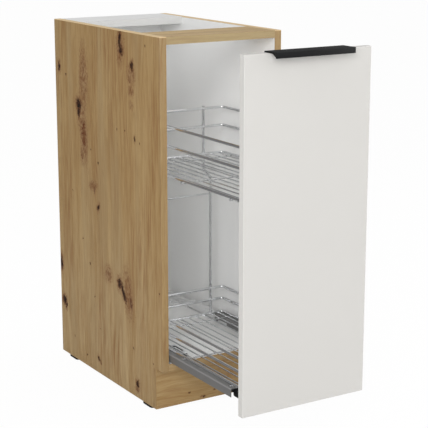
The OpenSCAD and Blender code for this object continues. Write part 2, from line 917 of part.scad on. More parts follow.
// The right rod: up behind the lower basket, a swan neck, and up behind the upper basket
module rear_rod() {
    slant = (rod_jog - 2 * rod_bend_r * (1 - cos(rod_bend_a))) / sin(rod_bend_a);
    rise = 2 * rod_bend_r * sin(rod_bend_a) + slant * cos(rod_bend_a);
    translate([rod_low_x, rod_y, rod_foot_z]) mirror([1, 0, 0]) {
        cylinder(h = rod_bend_z - rod_foot_z, d = rod_d);
        translate([0, 0, rod_bend_z - rod_foot_z]) {
            bend(rod_bend_r, rod_bend_a, rod_d);
            after_bend(rod_bend_r, rod_bend_a) {
                cylinder(h = slant, d = rod_d);
                translate([0, 0, slant]) mirror([1, 0, 0]) bend(rod_bend_r, rod_bend_a, rod_d);
            }
        }
        translate([rod_jog, 0, rod_bend_z - rod_foot_z + rise])
            cylinder(h = rod_top_z - rod_bend_z - rise, d = rod_d);
    }
}

module rear_link_frame() {
    color(chrome) placed() {
        both_sides() rear_rod();
        bar_x(-rod_low_x, rod_low_x, rod_y, link_bar_z, link_bar_d);
    }
}

// Flat bars that carry the front ends of both baskets and are screwed to the front
module front_link_bars() {
    z0 = floor_z + plate_lift;
    z1 = rod_top_z;
    color(zinc) placed() both_sides() difference() {
        translate([0, front_back_y + flat_bar_t, 0]) rotate([90, 0, 0]) linear_extrude(flat_bar_t)
            round_rect(flat_bar_x - flat_bar_w / 2, flat_bar_x + flat_bar_w / 2, z0, z1, 4);
        bar_screws(fit);
    }
}

module back_screw(x, y, z, extra) {
    translate([x, y, z]) rotate([90, 0, 0]) {
        cylinder(h = screw_l, r = screw_d / 2 + extra);
        translate([0, 0, -screw_head_t]) cylinder(h = screw_head_t, r = screw_head_d / 2);
    }
}

module bar_screws(extra) {
    for (z = bar_screw_z) back_screw(flat_bar_x, front_back_y + flat_bar_t, z, extra);
}

module plate_screws(extra) {
    for (s = [-1, 1]) back_screw(runner_x + s * plate_screw_x, front_back_y + plate_t,
        runner_z + plate_lift + plate_h - plate_screw_drop, extra);
}

module door_screws() {
    color(zinc) placed() both_sides() {
        bar_screws(0);
        plate_screws(0);
    }
}

// A moulded arm that joins each drawer rail to the front
module rail_front_brackets() {
    arm_z1 = runner_z + runner_h - arm_drop;
    color(black) placed() both_sides() difference() {
        union() {
            translate([0, front_back_y + plate_t, 0]) rotate([90, 0, 0]) linear_extrude(plate_t)
                round_rect(runner_x - runner_w / 2, runner_x + runner_w / 2 - 1,
                    runner_z + plate_lift, runner_z + plate_lift + plate_h, 3);
            along_x(runner_x - arm_w / 2, runner_x + arm_w / 2)
                round_rect(front_back_y + 1, drawer_rail_y0 + 1, arm_z1 - arm_h, arm_z1, 4);
            block(runner_x - drawer_inner + 1, runner_x + drawer_inner - 1,
                drawer_rail_y0 - 4, drawer_rail_y0 + tongue_l,
                runner_z + runner_h - sheet_t - seat - 5, runner_z + runner_h - sheet_t - seat);
        }
        plate_screws(fit);
    }
}

// Front

// The whole front with its rounded edges
module front_block() {
    intersection() {
        along_x(-front_w / 2, front_w / 2)
            round_rect(front_face_y, front_back_y, front_z0, front_z1, front_edge_r);
        translate([0, 0, front_z0]) linear_extrude(front_z1 - front_z0)
            round_rect(-front_w / 2, front_w / 2, front_face_y, front_back_y, front_edge_r);
    }
}

module front_panel() {
    x = front_w / 2 - band_t;
    color(front_white) placed() difference() {
        block(-x, x, front_face_y, front_back_y, front_z0 + band_t, front_z1 - band_t);
        both_sides() {
            bar_screws(fit);
            plate_screws(fit);
            pull_screws(fit);
        }
    }
}

module front_edge_bands() {
    x = front_w / 2 - band_t;
    color(front_white) placed() difference() {
        front_block();
        block(-x, x, front_face_y - 1, front_back_y + 1, front_z0 + band_t, front_z1 - band_t);
    }
}

// Section of the pull in Y and Z: flange behind the front, plate over its top edge, and a lip
// whose underside sweeps up in one arc
module pull_section() {
    z0 = front_z1 + seat;
    z1 = z0 + pull_t;
    lip_z = z1 - pull_lip;
    lip_y = pull_y + 1.2;
    run = front_face_y - 2 - lip_y;
    drop = z0 - lip_z;
    arc_r = (run * run + drop * drop) / (2 * drop);
    translate([front_back_y, z0 - pull_flange_h]) square([pull_flange_t, pull_flange_h + 1]);
    difference() {
        union() {
            translate([pull_y, lip_z + 1]) square([front_back_y + pull_flange_t - pull_y - 1,
                pull_lip - 1]);
            translate([pull_y + 1, z0 + 0.5])
                square([front_back_y + pull_flange_t - pull_y - 1, pull_t - 0.5]);
            translate([pull_y + 1, lip_z]) square([lip_y - pull_y, 2]);
            translate([pull_y + 1, lip_z + 1]) circle(1);
        }
        translate([front_face_y - 2, z0 - arc_r]) circle(arc_r, $fn = 96);
        translate([front_face_y - 2, lip_z - 1]) square([front_t + 10, z0 - lip_z + 1]);
    }
}

module edge_pull() {
    color(black) placed() difference() {
        along_x(-pull_l / 2, pull_l / 2) pull_section();
        both_sides() pull_screws(fit);
    }
}

module pull_screws(extra) {
    translate([pull_screw_x, front_back_y + pull_flange_t, front_z1 - pull_flange_h / 2])
        rotate([90, 0, 0]) translate([0, 0, -extra]) {
            cylinder(h = pull_screw_l + 2 * extra, r = pull_screw_d / 2 + extra);
            cylinder(h = pull_flange_t - 0.4 + 2 * extra, r1 = pull_head_d / 2 + 2 * extra,
                r2 = screw_d / 2 + extra);
        }
}

module edge_pull_screws() {
    color(zinc) placed() both_sides() pull_screws(0);
}

module bumpers() {
    x = front_w / 2 - bumper_inset + 2;
    color("white", 0.6) placed() both_sides()
        for (z = [front_z0 + 3 * bumper_inset, front_z1 - bumper_inset - 1])
            translate([x, front_back_y + front_gap - closed_gap, z]) rotate([90, 0, 0])
                cylinder(h = front_gap - closed_gap, d = bumper_d);
}

left_side();
right_side();
bottom_panel();
plinth();
front_top_rail();
back_top_rail();
back_panel();
carcass_edge_bands();
glides();
dowels();
cam_bolts();
cam_locks();
back_panel_pins();
left_cabinet_rail();
right_cabinet_rail();
rail_brackets();
rail_fixing_screws();
left_mid_rail();
right_mid_rail();
left_inner_cage();
right_inner_cage();
left_outer_cage();
right_outer_cage();
left_inner_balls();
right_inner_balls();
left_outer_balls();
right_outer_balls();
left_drawer_rail();
right_drawer_rail();
rail_rivets();
upper_basket_floor();
upper_basket_rails();
lower_basket_floor();
lower_basket_rails();
rear_link_frame();
front_link_bars();
rail_front_brackets();
door_screws();
front_panel();
front_edge_bands();
edge_pull();
edge_pull_screws();
bumpers();
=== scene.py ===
# %% [markdown]
# # A pull-out base cabinet
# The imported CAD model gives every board, wire and runner its true size and place. This
# notebook loads it as a fixed frame, gives each finish its material, and models by hand the
# small pieces that the CAD solids only stand for. All lengths are metres. X is the width, the
# front faces -Y, and Z is up from the floor.

# %% Load the frame
import math

import bmesh
import bpy
from mathutils import Matrix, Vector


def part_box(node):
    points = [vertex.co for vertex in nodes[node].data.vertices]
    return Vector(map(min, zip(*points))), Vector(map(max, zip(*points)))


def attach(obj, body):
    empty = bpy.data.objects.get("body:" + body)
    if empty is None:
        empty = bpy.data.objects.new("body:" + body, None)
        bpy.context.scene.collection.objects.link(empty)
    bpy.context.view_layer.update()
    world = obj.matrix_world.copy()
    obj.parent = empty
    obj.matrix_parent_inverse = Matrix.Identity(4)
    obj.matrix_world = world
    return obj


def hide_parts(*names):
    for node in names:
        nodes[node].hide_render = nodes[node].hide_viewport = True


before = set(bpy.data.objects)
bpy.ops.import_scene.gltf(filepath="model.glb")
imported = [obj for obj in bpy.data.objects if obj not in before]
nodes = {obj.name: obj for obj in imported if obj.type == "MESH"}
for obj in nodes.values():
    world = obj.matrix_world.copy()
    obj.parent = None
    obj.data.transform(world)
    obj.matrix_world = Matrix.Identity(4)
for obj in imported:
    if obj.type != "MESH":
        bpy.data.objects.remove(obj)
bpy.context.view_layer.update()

MM = 0.001
SIDE_LOW, SIDE_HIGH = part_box("left_side")
BAND_LOW, BAND_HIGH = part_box("carcass_edge_bands")
HALF_W = -SIDE_LOW.x
INNER_X = -SIDE_HIGH.x
FRONT_EDGE_Y = BAND_LOW.y
BACK_EDGE_Y = SIDE_HIGH.y
TOP_Z = BAND_HIGH.z
print(f"carcass {2 * HALF_W:.3f} wide, from y {FRONT_EDGE_Y:.4f} to {BACK_EDGE_Y:.4f}")

# %% [markdown]
# ## Camera
# The picture looks down on the cabinet from the left of its front. A long lens keeps the
# perspective mild. Blender's camera looks along its own -Z, so a camera that should look
# level along +Y is turned 90 degrees about X. The downward pitch comes off that, and the yaw
# to the right is a negative turn about Z.

# %% Camera
FOCAL_PX = 1341.0
PICTURE_PX = 428.0
SENSOR_MM = 36.0
CAMERA_YAW = 31.73
CAMERA_PITCH = 13.35
CAMERA_PLACE = (-1.493, -2.4645, 1.100)

scene = bpy.context.scene
camera_data = bpy.data.cameras.new("camera")
camera_data.sensor_width = SENSOR_MM
camera_data.lens = SENSOR_MM * FOCAL_PX / PICTURE_PX
camera = bpy.data.objects.new("camera", camera_data)
camera.location = CAMERA_PLACE
camera.rotation_euler = (math.radians(90 - CAMERA_PITCH), 0, math.radians(-CAMERA_YAW))
scene.collection.objects.link(camera)
scene.camera = camera
print(f"lens {camera_data.lens:.1f} mm")

# %% [markdown]
# ## Node helpers
# A material is a tree of nodes. Small helpers keep the trees readable: `put` adds a node and
# links or sets its inputs, and `maths`, `times`, `minus` and `vector_maths` are one-line Math
# nodes.

# %% Node helpers
def put(tree, kind, values=None, **settings):
    """Adds a shader node. A socket given as a value is linked; anything else is set."""
    node = tree.nodes.new("ShaderNode" + kind)
    for name, value in settings.items():
        setattr(node, name, value)
    for key, value in (values or {}).items():
        if isinstance(value, bpy.types.NodeSocket):
            tree.links.new(value, node.inputs[key])
        else:
            node.inputs[key].default_value = value
    return node


def maths(tree, operation, *values):
    return put(tree, "Math", dict(enumerate(values)), operation=operation).outputs[0]


def times(tree, a, b):
    return maths(tree, "MULTIPLY", a, b)


def minus(tree, a, b):
    return maths(tree, "SUBTRACT", a, b)


def vector_maths(tree, operation, *values):
    return put(tree, "VectorMath", dict(enumerate(values)), operation=operation).outputs[0]


print("node helpers ready")

# %% [markdown]
# Every pattern is drawn on Object coordinates, so that it stays on the piece when it moves.
# `stretch` squeezes it along each axis, `noise` draws it, `between` turns a value into a soft
# 0 to 1 step, and `mixed` goes from one colour to another.

# %% Pattern helpers
def between(tree, value, start, end, low=0.0, high=1.0):
    """low before start, high after end, and a soft step from one to the other."""
    values = {"Value": value, "From Min": start, "From Max": end, "To Min": low, "To Max": high}
    return put(tree, "MapRange", values, interpolation_type="SMOOTHSTEP").outputs["Result"]


def mixed(tree, amount, a, b):
    """A colour between a and b."""
    return put(tree, "Mix", {0: amount, 6: a, 7: b}, data_type="RGBA").outputs[2]


def vector(tree, x, y, z):
    return put(tree, "CombineXYZ", {0: x, 1: y, 2: z}).outputs[0]


def parts(tree, where):
    """The three values of a vector."""
    return tuple(put(tree, "SeparateXYZ", {0: where}).outputs)


def stretch(tree, where, x, y, z):
    """A place with each axis multiplied by its own number."""
    return vector_maths(tree, "MULTIPLY", where, (x, y, z))


def noise(tree, where, scale, detail=2.0, roughness=0.5):
    values = {"Vector": where, "Scale": scale, "Detail": detail, "Roughness": roughness}
    return put(tree, "TexNoise", values).outputs["Fac"]


def object_place(tree):
    return put(tree, "TexCoord").outputs["Object"]


print("pattern helpers ready")

# %% [markdown]
# An effect that several finishes share is a node group, which is built once and placed in each
# material with its own values. `shader_group` starts one, `give` links its outputs, and `use`
# places it.

# %% Group helpers
def shader_group(name, inputs, outputs):
    """A new node group with named sockets: its tree, its inputs and its output node."""
    tree = bpy.data.node_groups.new(name, "ShaderNodeTree")
    for socket, kind, value in inputs:
        made = tree.interface.new_socket(socket, in_out="INPUT", socket_type="NodeSocket" + kind)
        made.default_value = value
    for socket, kind in outputs:
        tree.interface.new_socket(socket, in_out="OUTPUT", socket_type="NodeSocket" + kind)
    given = tree.nodes.new("NodeGroupInput").outputs
    return tree, given, tree.nodes.new("NodeGroupOutput")


def give(tree, result, **values):
    """Links a group's outputs and returns the finished group."""
    for name, value in values.items():
        tree.links.new(value, result.inputs[name.replace("_", " ")])
    print("group", tree.name)
    return tree


def use(tree, group, **values):
    """Places a node group in a tree and returns its outputs."""
    return put(tree, "Group", values, node_tree=group).outputs


print("group helpers ready")

# %% [markdown]
# ## Soft variation
# Nothing real is equally shiny all over. This group turns a noise into a value between two
# limits, and every finish below feeds its roughness from it. `Grit` is a much finer noise for
# the texture of melamine, powder coat and moulded plastic.

# %% Soft variation group
tree, given, result = shader_group(
    "Soft variation",
    [("Vector", "Vector", (0, 0, 0)), ("Scale", "Float", 10.0), ("Low", "Float", 0.3),
     ("High", "Float", 0.4), ("Grit Scale", "Float", 900.0)],
    [("Value", "Float"), ("Grit", "Float")])
spread = noise(tree, given["Vector"], given["Scale"], 3.0)
level = put(tree, "MapRange", {"Value": spread, "From Min": 0.3, "From Max": 0.7,
                               "To Min": given["Low"], "To Max": given["High"]})
variation = give(tree, result, Value=level.outputs["Result"],
                 Grit=noise(tree, given["Vector"], given["Grit Scale"]))


def shine(tree, place, scale, low, high, grit_scale=900.0):
    """Value, which changes softly from low to high, and Grit."""
    return use(tree, variation, Vector=place, Scale=scale, Low=low, High=high,
               **{"Grit Scale": grit_scale})


# %% [markdown]
# ## Oak grain
# The carcass is faced with a knotty oak decor. Its grain is a noise that is stretched along
# the board: wide soft bands, narrow streaks and fine fibres are the same trick at three
# scales. `Across` and `Along` are places on the board, so that one group serves upright
# sides, a level plinth and narrow edge bands. A slow noise makes the lines sway a little.

# %% Oak grain group
GRAIN_SWAY = 35 * MM
BAND_SHARE, STREAK_SHARE, FIBRE_SHARE = 0.26, 0.46, 0.28

tree, given, result = shader_group(
    "Oak grain",
    [("Across", "Float", 0.0), ("Along", "Float", 0.0), ("Seed", "Float", 0.0)],
    [("Tone", "Float"), ("Red Streaks", "Float"), ("Fibre", "Float"), ("Pores", "Float")])
straight = vector(tree, given["Across"], given["Along"], given["Seed"])
slow = noise(tree, stretch(tree, straight, 3.0, 1.0, 1.0), 2.6)
sway = times(tree, minus(tree, slow, 0.5), GRAIN_SWAY)
swaying = vector(tree, maths(tree, "ADD", given["Across"], sway), given["Along"], given["Seed"])


def stretched(across_scale, along_scale, detail, roughness=0.5):
    where = stretch(tree, swaying, across_scale, along_scale, 1.0)
    return noise(tree, where, 1.0, detail, roughness)


bands = stretched(22.0, 3.0, 2.0)
streaks = stretched(105.0, 5.0, 5.0, 0.66)
fibres = stretched(620.0, 24.0, 2.0)
tone = maths(tree, "MULTIPLY_ADD", bands, BAND_SHARE, maths(
    tree, "MULTIPLY_ADD", streaks, STREAK_SHARE, times(tree, fibres, FIBRE_SHARE)))
patches = between(tree, stretched(17.0, 4.0, 2.0), 0.42, 0.66)
reds = between(tree, stretched(150.0, 9.0, 3.0, 0.6), 0.44, 0.68)
oak_grain = give(
    tree, result, Tone=between(tree, tone, 0.34, 0.66), Fibre=fibres,
    Red_Streaks=times(tree, reds, patches),
    Pores=between(tree, stretched(900.0, 38.0, 1.0), 0.62, 0.74))

# %% [markdown]
# ## A knot
# A knot is a dark core in a brown halo, and the grain flows round it. In this group the
# distance from the knot's centre is measured in an ellipse that can be tilted. The two masks
# are soft steps of that distance. The group also hands on the place, pushed aside near the
# knot, so that a whole board is a chain of knots and the grain at its end bends round all.
# `Ragged` is a fibrous noise that is added to the distance, because a knot's rim is torn.

# %% Knot group
KNOT_EDGE, CORE_END, HALO_END = 0.6, 1.5, 2.6

tree, given, result = shader_group(
    "Knot",
    [("Vector", "Vector", (0, 0, 0)), ("Core", "Float", 0.0), ("Halo", "Float", 0.0),
     ("Centre", "Vector", (0, 0, 0)), ("Size", "Vector", (1, 1, 1)), ("Tilt", "Float", 0.0),
     ("Dark", "Float", 1.0), ("Brown", "Float", 1.0), ("Bend", "Float", 0.55),
     ("Ragged", "Float", 0.0)],
    [("Vector", "Vector"), ("Core", "Float"), ("Halo", "Float")])
away = vector_maths(tree, "SUBTRACT", given["Vector"], given["Centre"])
turned = put(tree, "VectorRotate", {"Vector": away, "Angle": given["Tilt"]},
             rotation_type="X_AXIS").outputs[0]
flat = stretch(tree, turned, 0, 1, 1)
scaled = vector_maths(tree, "DIVIDE", flat, given["Size"])
distance = put(tree, "VectorMath", {0: scaled}, operation="LENGTH").outputs["Value"]
distance = maths(tree, "ADD", distance, given["Ragged"])
core = times(tree, given["Dark"], between(tree, distance, KNOT_EDGE, CORE_END, 1.0, 0.0))
ring = between(tree, distance, KNOT_EDGE, HALO_END, 1.0, 0.0)
halo = times(tree, ring, given["Brown"])
sideways = times(tree, parts(tree, flat)[1], times(tree, ring, given["Bend"]))
push = vector(tree, 0.0, sideways, 0.0)
knot_group = give(
    tree, result, Vector=vector_maths(tree, "SUBTRACT", given["Vector"], push),
    Core=maths(tree, "MAXIMUM", core, given["Core"]),
    Halo=maths(tree, "MAXIMUM", halo, given["Halo"]))

# %% [markdown]
# ## Board core
# A side is oak outside, white inside, and chipboard in between, which shows only on its raw
# lower and back edges and in its drilled holes. A board's skin is a mask by depth: `Depth` is
# the distance inwards from a face, and the decor is less than half a millimetre thick. Colours
# are given as they look on screen, and `srgb` turns them into what a shader needs.

# %% Chipboard and skin groups
FACE_SKIN = 0.4 * MM


def srgb(red, green, blue):
    """A colour picked on screen, 0 to 255, as a linear colour."""
    def linear(value):
        value /= 255
        return value / 12.92 if value <= 0.04045 else ((value + 0.055) / 1.055) ** 2.4
    return (linear(red), linear(green), linear(blue), 1.0)


tree, given, result = shader_group(
    "Chipboard", [("Vector", "Vector", (0, 0, 0))], [("Color", "Color")])
chips = put(tree, "TexVoronoi", {"Vector": given["Vector"], "Scale": 420.0})
flakes = put(tree, "SeparateColor", {0: chips.outputs["Color"]}).outputs[0]
chipboard = give(tree, result,
                 Color=mixed(tree, flakes, srgb(150, 118, 80), srgb(206, 178, 134)))

tree, given, result = shader_group(
    "Board skin", [("Depth", "Float", 0.0), ("Thickness", "Float", FACE_SKIN)],
    [("Mask", "Float")])
skin = give(tree, result, Mask=maths(tree, "LESS_THAN", given["Depth"], given["Thickness"]))


def on_skin(tree, depth):
    """1 where a point lies less than the decor's thickness below a face."""
    return use(tree, skin, Depth=depth)["Mask"]


# %% [markdown]
# ## Oak boards
# One function mixes the oak colour for any board. It takes the darkest and the lightest tone
# of the grain, because the plinth, the rail and the bands each differ a little.

# %% Oak colour
OAK_DARK = srgb(148, 115, 72)
OAK_LIGHT = srgb(175, 147, 102)
OAK_PORE = srgb(118, 88, 58)
OAK_RED = srgb(134, 94, 56)
OAK_PALE = srgb(164, 142, 106)
PALE_SHARE, RED_SHARE, PORE_SHARE = 0.4, 0.6, 0.35


def oak_colour(tree, across, along, seed, dark=OAK_DARK, light=OAK_LIGHT):
    """The plain grain: its colour, and a height for the bump."""
    grain = use(tree, oak_grain, Across=across, Along=along, Seed=seed)
    colour = mixed(tree, grain["Tone"], dark, light)
    faded = noise(tree, stretch(tree, vector(tree, across, along, seed), 14.0, 1.0, 1.0), 1.3)
    colour = mixed(tree, between(tree, faded, 0.45, 0.65, 0.0, PALE_SHARE), colour, OAK_PALE)
    colour = mixed(tree, times(tree, grain["Red Streaks"], RED_SHARE), colour, OAK_RED)
    colour = mixed(tree, times(tree, grain["Pores"], PORE_SHARE), colour, OAK_PORE)
    return colour, minus(tree, grain["Fibre"], grain["Pores"])


print("oak tones", OAK_DARK[:3], OAK_LIGHT[:3])

# %% [markdown]
# The side panels also get the decor's knots at the places and sizes that they have on the real
# board. Each row of the table gives a knot's middle along Y and Z, its half width and half
# height, all in millimetres, its tilt in degrees, and how strong its core and its halo are. On
# the plinth the grain is level, so its own knots are given as height first and X second.

# %% Tables of knots
KNOTS = [
    # the long crack near the top edge
    (93, 800, 5, 19, -6, 1.0, 0.7), (88, 778, 8, 12, 24, 0.9, 0.7), (91, 786, 11, 24, 0, 0.0, 0.8),
    # the round knot to its right, with brown rings below it
    (39, 749, 6, 9, 0, 1.0, 0.9), (43, 730, 11, 15, 0, 0.1, 0.8), (44, 696, 8, 8, 0, 0.1, 0.7),
    (44, 664, 6, 6, 0, 0.1, 0.5),
    # the largest knot, its brown flame above and its ringed tail below
    (299, 634, 12, 13, 18, 1.0, 0.9), (298, 614, 5, 12, -10, 0.85, 0.8),
    (286, 622, 14, 26, 0, 0.0, 0.8), (272, 696, 13, 44, 0, 0.0, 0.85),
    (276, 566, 11, 34, 6, 0.28, 1.0), (284, 520, 7, 14, 0, 0.25, 0.7),
    # small knots down the middle
    (31, 593, 3, 5, 0, 0.9, 0.6), (209, 409, 5, 8, -20, 0.9, 0.7),
    (234, 455, 13, 6, 10, 0.15, 0.7), (228, 446, 3, 10, 0, 0.4, 0.5),
    # the slanted knot low on the panel and its tail
    (111, 252, 9, 12, 0, 0.8, 0.8), (94, 235, 6, 24, 36, 1.0, 0.8), (58, 218, 5, 14, 10, 0.5, 0.9),
    (165, 262, 11, 13, 0, 0.15, 0.8), (70, 238, 13, 34, 8, 0.0, 0.7),
    # along the back edge
    (399, 712, 5, 10, 0, 0.9, 0.9), (412, 232, 6, 16, 0, 0.9, 0.9),
    (400, 140, 10, 10, -40, 1.0, 0.9), (394, 128, 5, 9, 0, 0.9, 0.6),
    # near the bottom
    (222, 43, 4, 6, 20, 0.8, 0.7), (212, 36, 3, 4, 0, 0.6, 0.5), (32, 38, 6, 9, 0, 1.0, 0.8),
    (33, 25, 7, 5, 0, 0.3, 0.6),
]
SPECKS = [
    (111, 603), (75, 604), (205, 513), (242, 535), (342, 424), (363, 696), (257, 265), (292, 316),
    (236, 190), (210, 118), (347, 61), (283, 33), (48, 120), (37, 192), (-72, 273), (-41, 108),
    (9, 585), (-20, 795),
]
SPECK = (1.7, 2.2, 0, 0.78, 0.3)
KNOTS += [place + SPECK for place in SPECKS]
PLINTH_KNOTS = [
    (28.5, -64.7, 1.6, 2.2, 0, 0.9, 0.5), (12.4, -29.8, 2, 3.4, 0, 0.75, 0.9),
    (92.3, -37, 2, 2.6, 0, 0.8, 0.6), (85.8, -27.6, 1.8, 2.4, 0, 0.7, 0.5),
    (23.3, 0.4, 1.4, 2.6, 0, 0.8, 0.8), (89.7, 17.6, 4.5, 14, 0, 0.1, 0.5),
    (53.7, 27.4, 5, 18, 0, 0.1, 0.5), (64, 101, 6, 11, 0, 0.9, 0.9),
]
print(len(KNOTS), "knots and specks on a side,", len(PLINTH_KNOTS), "on the plinth")

# %% [markdown]
# The knots are placed one after another, each handing its masks and the bent place to the
# next. The rim of a real knot is ragged, so the place is first shaken by a noise.

# %% Chain of knots
SHAKE = (0.0, 10 * MM, 18 * MM)
FIBRES = (0.0, 290.0, 170.0)
RAGGED_BY, RAGGED_FROM = 3.2, -1.5


def knot_chain(tree, board, knots):
    """The shaken place, the masks of all cores and halos, and the push across the grain."""
    shake = put(tree, "TexNoise", {"Vector": board, "Scale": 130.0, "Detail": 4.0})
    shaken = vector_maths(tree, "SUBTRACT", shake.outputs["Color"], (0.5, 0.5, 0.5))
    moved = vector_maths(tree, "MULTIPLY_ADD", shaken, SHAKE, board)
    torn = noise(tree, stretch(tree, board, *FIBRES), 1.0, 4.0, 0.72)
    ragged = maths(tree, "MULTIPLY_ADD", torn, RAGGED_BY, RAGGED_FROM)
    bent, core, halo = moved, 0.0, 0.0
    for across, along, half_w, half_h, tilt, black, brown in knots:
        knot = use(tree, knot_group, Vector=bent, Core=core, Halo=halo,
                   Centre=(0, across * MM, along * MM), Size=(1, half_w * MM, half_h * MM),
                   Tilt=math.radians(tilt), Dark=black, Brown=brown, Ragged=ragged)
        bent, core, halo = knot["Vector"], knot["Core"], knot["Halo"]
    return moved, core, halo, parts(tree, vector_maths(tree, "SUBTRACT", moved, bent))[1]


print("chain ready")

# %% [markdown]
# A halo falls off evenly from a knot's rim, so a sine of it draws the growth rings as thin
# closed lines, and short brown flecks follow the bent grain between them. The core is broken
# up by one more noise. The bump is taken from the unbent grain: a Bump node works its input
# out three times, and a chain of fifty knots times three is more than the renderer can hold.

# %% Knotty oak
KNOT_BROWN = srgb(106, 58, 28)
KNOT_PALE = srgb(180, 158, 124)
KNOT_RIM = srgb(82, 38, 18)
KNOT_BLACK = srgb(16, 7, 3)
RING_TURNS, RING_WANDER = 17.0, 7.0
FLECKS = (1.0, 300.0, 90.0)
RED_HALO, PALE_HALO = 0.5, 0.30
BROWN_HALO, BROWN_RINGS, BROWN_FLECKS = 0.16, 0.32, 0.66
RIM_SHARE = 0.75
CORE_LEAST, CORE_BROKEN = 0.38, 0.62


def knotty_oak(tree, board, knots, seed, dark=OAK_DARK, light=OAK_LIGHT):
    """Oak with knots. board is a place whose Y is across the grain and whose Z is along it."""
    moved, core, halo, aside = knot_chain(tree, board, knots)
    straight, along = parts(tree, board)[1:]
    across = minus(tree, straight, aside)
    oak = oak_colour(tree, across, along, seed, dark, light)[0]
    height = oak_colour(tree, straight, along, seed)[1]

    def in_halo(share, over, colour):
        return mixed(tree, times(tree, halo, share), over, colour)

    oak = in_halo(RED_HALO, oak, OAK_RED)
    wander = times(tree, noise(tree, board, 110.0, 3.0), RING_WANDER)
    wave = maths(tree, "SINE", maths(tree, "MULTIPLY_ADD", halo, RING_TURNS, wander))
    rings = between(tree, wave, -0.3, 0.8)
    pale = maths(tree, "MULTIPLY_ADD", rings, -PALE_HALO, PALE_HALO)
    oak = in_halo(pale, oak, KNOT_PALE)
    fine = stretch(tree, vector(tree, 0.0, across, along), *FLECKS)
    flecks = between(tree, noise(tree, fine, 1.0, 4.0, 0.6), 0.44, 0.58)
    brown = maths(tree, "MULTIPLY_ADD", flecks, BROWN_FLECKS, BROWN_HALO)
    oak = in_halo(maths(tree, "MULTIPLY_ADD", rings, BROWN_RINGS, brown), oak, KNOT_BROWN)
    oak = mixed(tree, between(tree, core, 0.05, 0.55, 0.0, RIM_SHARE), oak, KNOT_RIM)
    broken = between(tree, noise(tree, moved, 260.0, 3.0), 0.36, 0.56)
    solid = maths(tree, "MULTIPLY_ADD", broken, CORE_BROKEN, CORE_LEAST)
    black = times(tree, between(tree, core, 0.52, 0.84), solid)
    return mixed(tree, black, oak, KNOT_BLACK), height


print("knotty oak ready")

# %% [markdown]
# `finish` starts a material and sets the plain numbers of its Principled shader, and `feed`
# links the colour, the roughness and the bump that were worked out for it.

# %% Material helpers
def finish(name, **settings):
    """A new material: its tree and its Principled shader, with plain numbers set on it."""
    print("finish", name)
    made = bpy.data.materials.new(name)
    made.use_nodes = True
    shader = made.node_tree.nodes["Principled BSDF"]
    for key, value in settings.items():
        shader.inputs[key.replace("_", " ").title().replace("Ior", "IOR")].default_value = value
    return made, made.node_tree, shader


def feed(tree, shader, colour, roughness, height=None, depth=None):
    """Links the worked-out colour, roughness and bump height to a shader."""
    tree.links.new(colour, shader.inputs["Base Color"])
    tree.links.new(roughness, shader.inputs["Roughness"])
    if height is not None:
        bump = put(tree, "Bump", {"Height": height, "Distance": depth, "Strength": 1.0})
        tree.links.new(bump.outputs["Normal"], shader.inputs["Normal"])


print("material helpers ready")

# %% [markdown]
# The two sides are cut from different stretches of the same decor: the right one is turned
# upside down and end for end. The bump is the fine fibre and the pores, and it stays shallow
# because the decor is a printed and pressed sheet, not open timber. Low on each side the wood
# is a little paler, as sapwood is, and at the front edge it is a little browner.

# %% Side panel finish
MELAMINE_WHITE = srgb(247, 247, 246)
SAPWOOD_DARK = srgb(152, 121, 79)
SAPWOOD_LIGHT = srgb(184, 160, 120)
SAPWOOD_FULL_Z, SAPWOOD_END_Z = 50 * MM, 500 * MM
EDGE_STREAK_W, EDGE_STREAK_SHARE = 6 * MM, 0.30
SIDE_SEED = 1.7
GRIT_SHARE = 0.3
BOARD_TURN = (0, FRONT_EDGE_Y + BACK_EDGE_Y, TOP_Z)


def side_finish(name, sign):
    """Knotty oak on the outer face, white inside, chipboard on the raw edges."""
    made, tree, shader = finish(name, specular_ior_level=0.12)
    place = object_place(tree)
    x, y, z = parts(tree, place)
    board = stretch(tree, place, 0, -sign, -sign)
    if sign > 0:
        board = vector_maths(tree, "ADD", board, BOARD_TURN)
    sapwood = between(tree, z, SAPWOOD_FULL_Z, SAPWOOD_END_Z, 1.0, 0.0)
    oak, height = knotty_oak(tree, board, KNOTS, SIDE_SEED + sign,
                             mixed(tree, sapwood, OAK_DARK, SAPWOOD_DARK),
                             mixed(tree, sapwood, OAK_LIGHT, SAPWOOD_LIGHT))
    near_front = between(tree, y, FRONT_EDGE_Y, FRONT_EDGE_Y + EDGE_STREAK_W,
                         EDGE_STREAK_SHARE, 0.0)
    oak = mixed(tree, near_front, oak, KNOT_BROWN)
    outward = times(tree, x, sign)
    outer = on_skin(tree, minus(tree, HALF_W, outward))
    inner = on_skin(tree, minus(tree, outward, INNER_X))
    chip = use(tree, chipboard, Vector=place)["Color"]
    colour = mixed(tree, outer, mixed(tree, inner, chip, MELAMINE_WHITE), oak)
    soft = shine(tree, place, 9.0, 0.40, 0.50)
    bump = maths(tree, "MULTIPLY_ADD", height, outer, times(tree, soft["Grit"], GRIT_SHARE))
    feed(tree, shader, colour, soft["Value"], bump, 0.12 * MM)
    return made


left_oak = side_finish("oak side left", -1)
right_oak = side_finish("oak side right", 1)

# %% [markdown]
# The plinth and the front top rail are cut from the same board with the grain lying along X.
# Their decor is on two faces, and their other edges are raw chipboard.

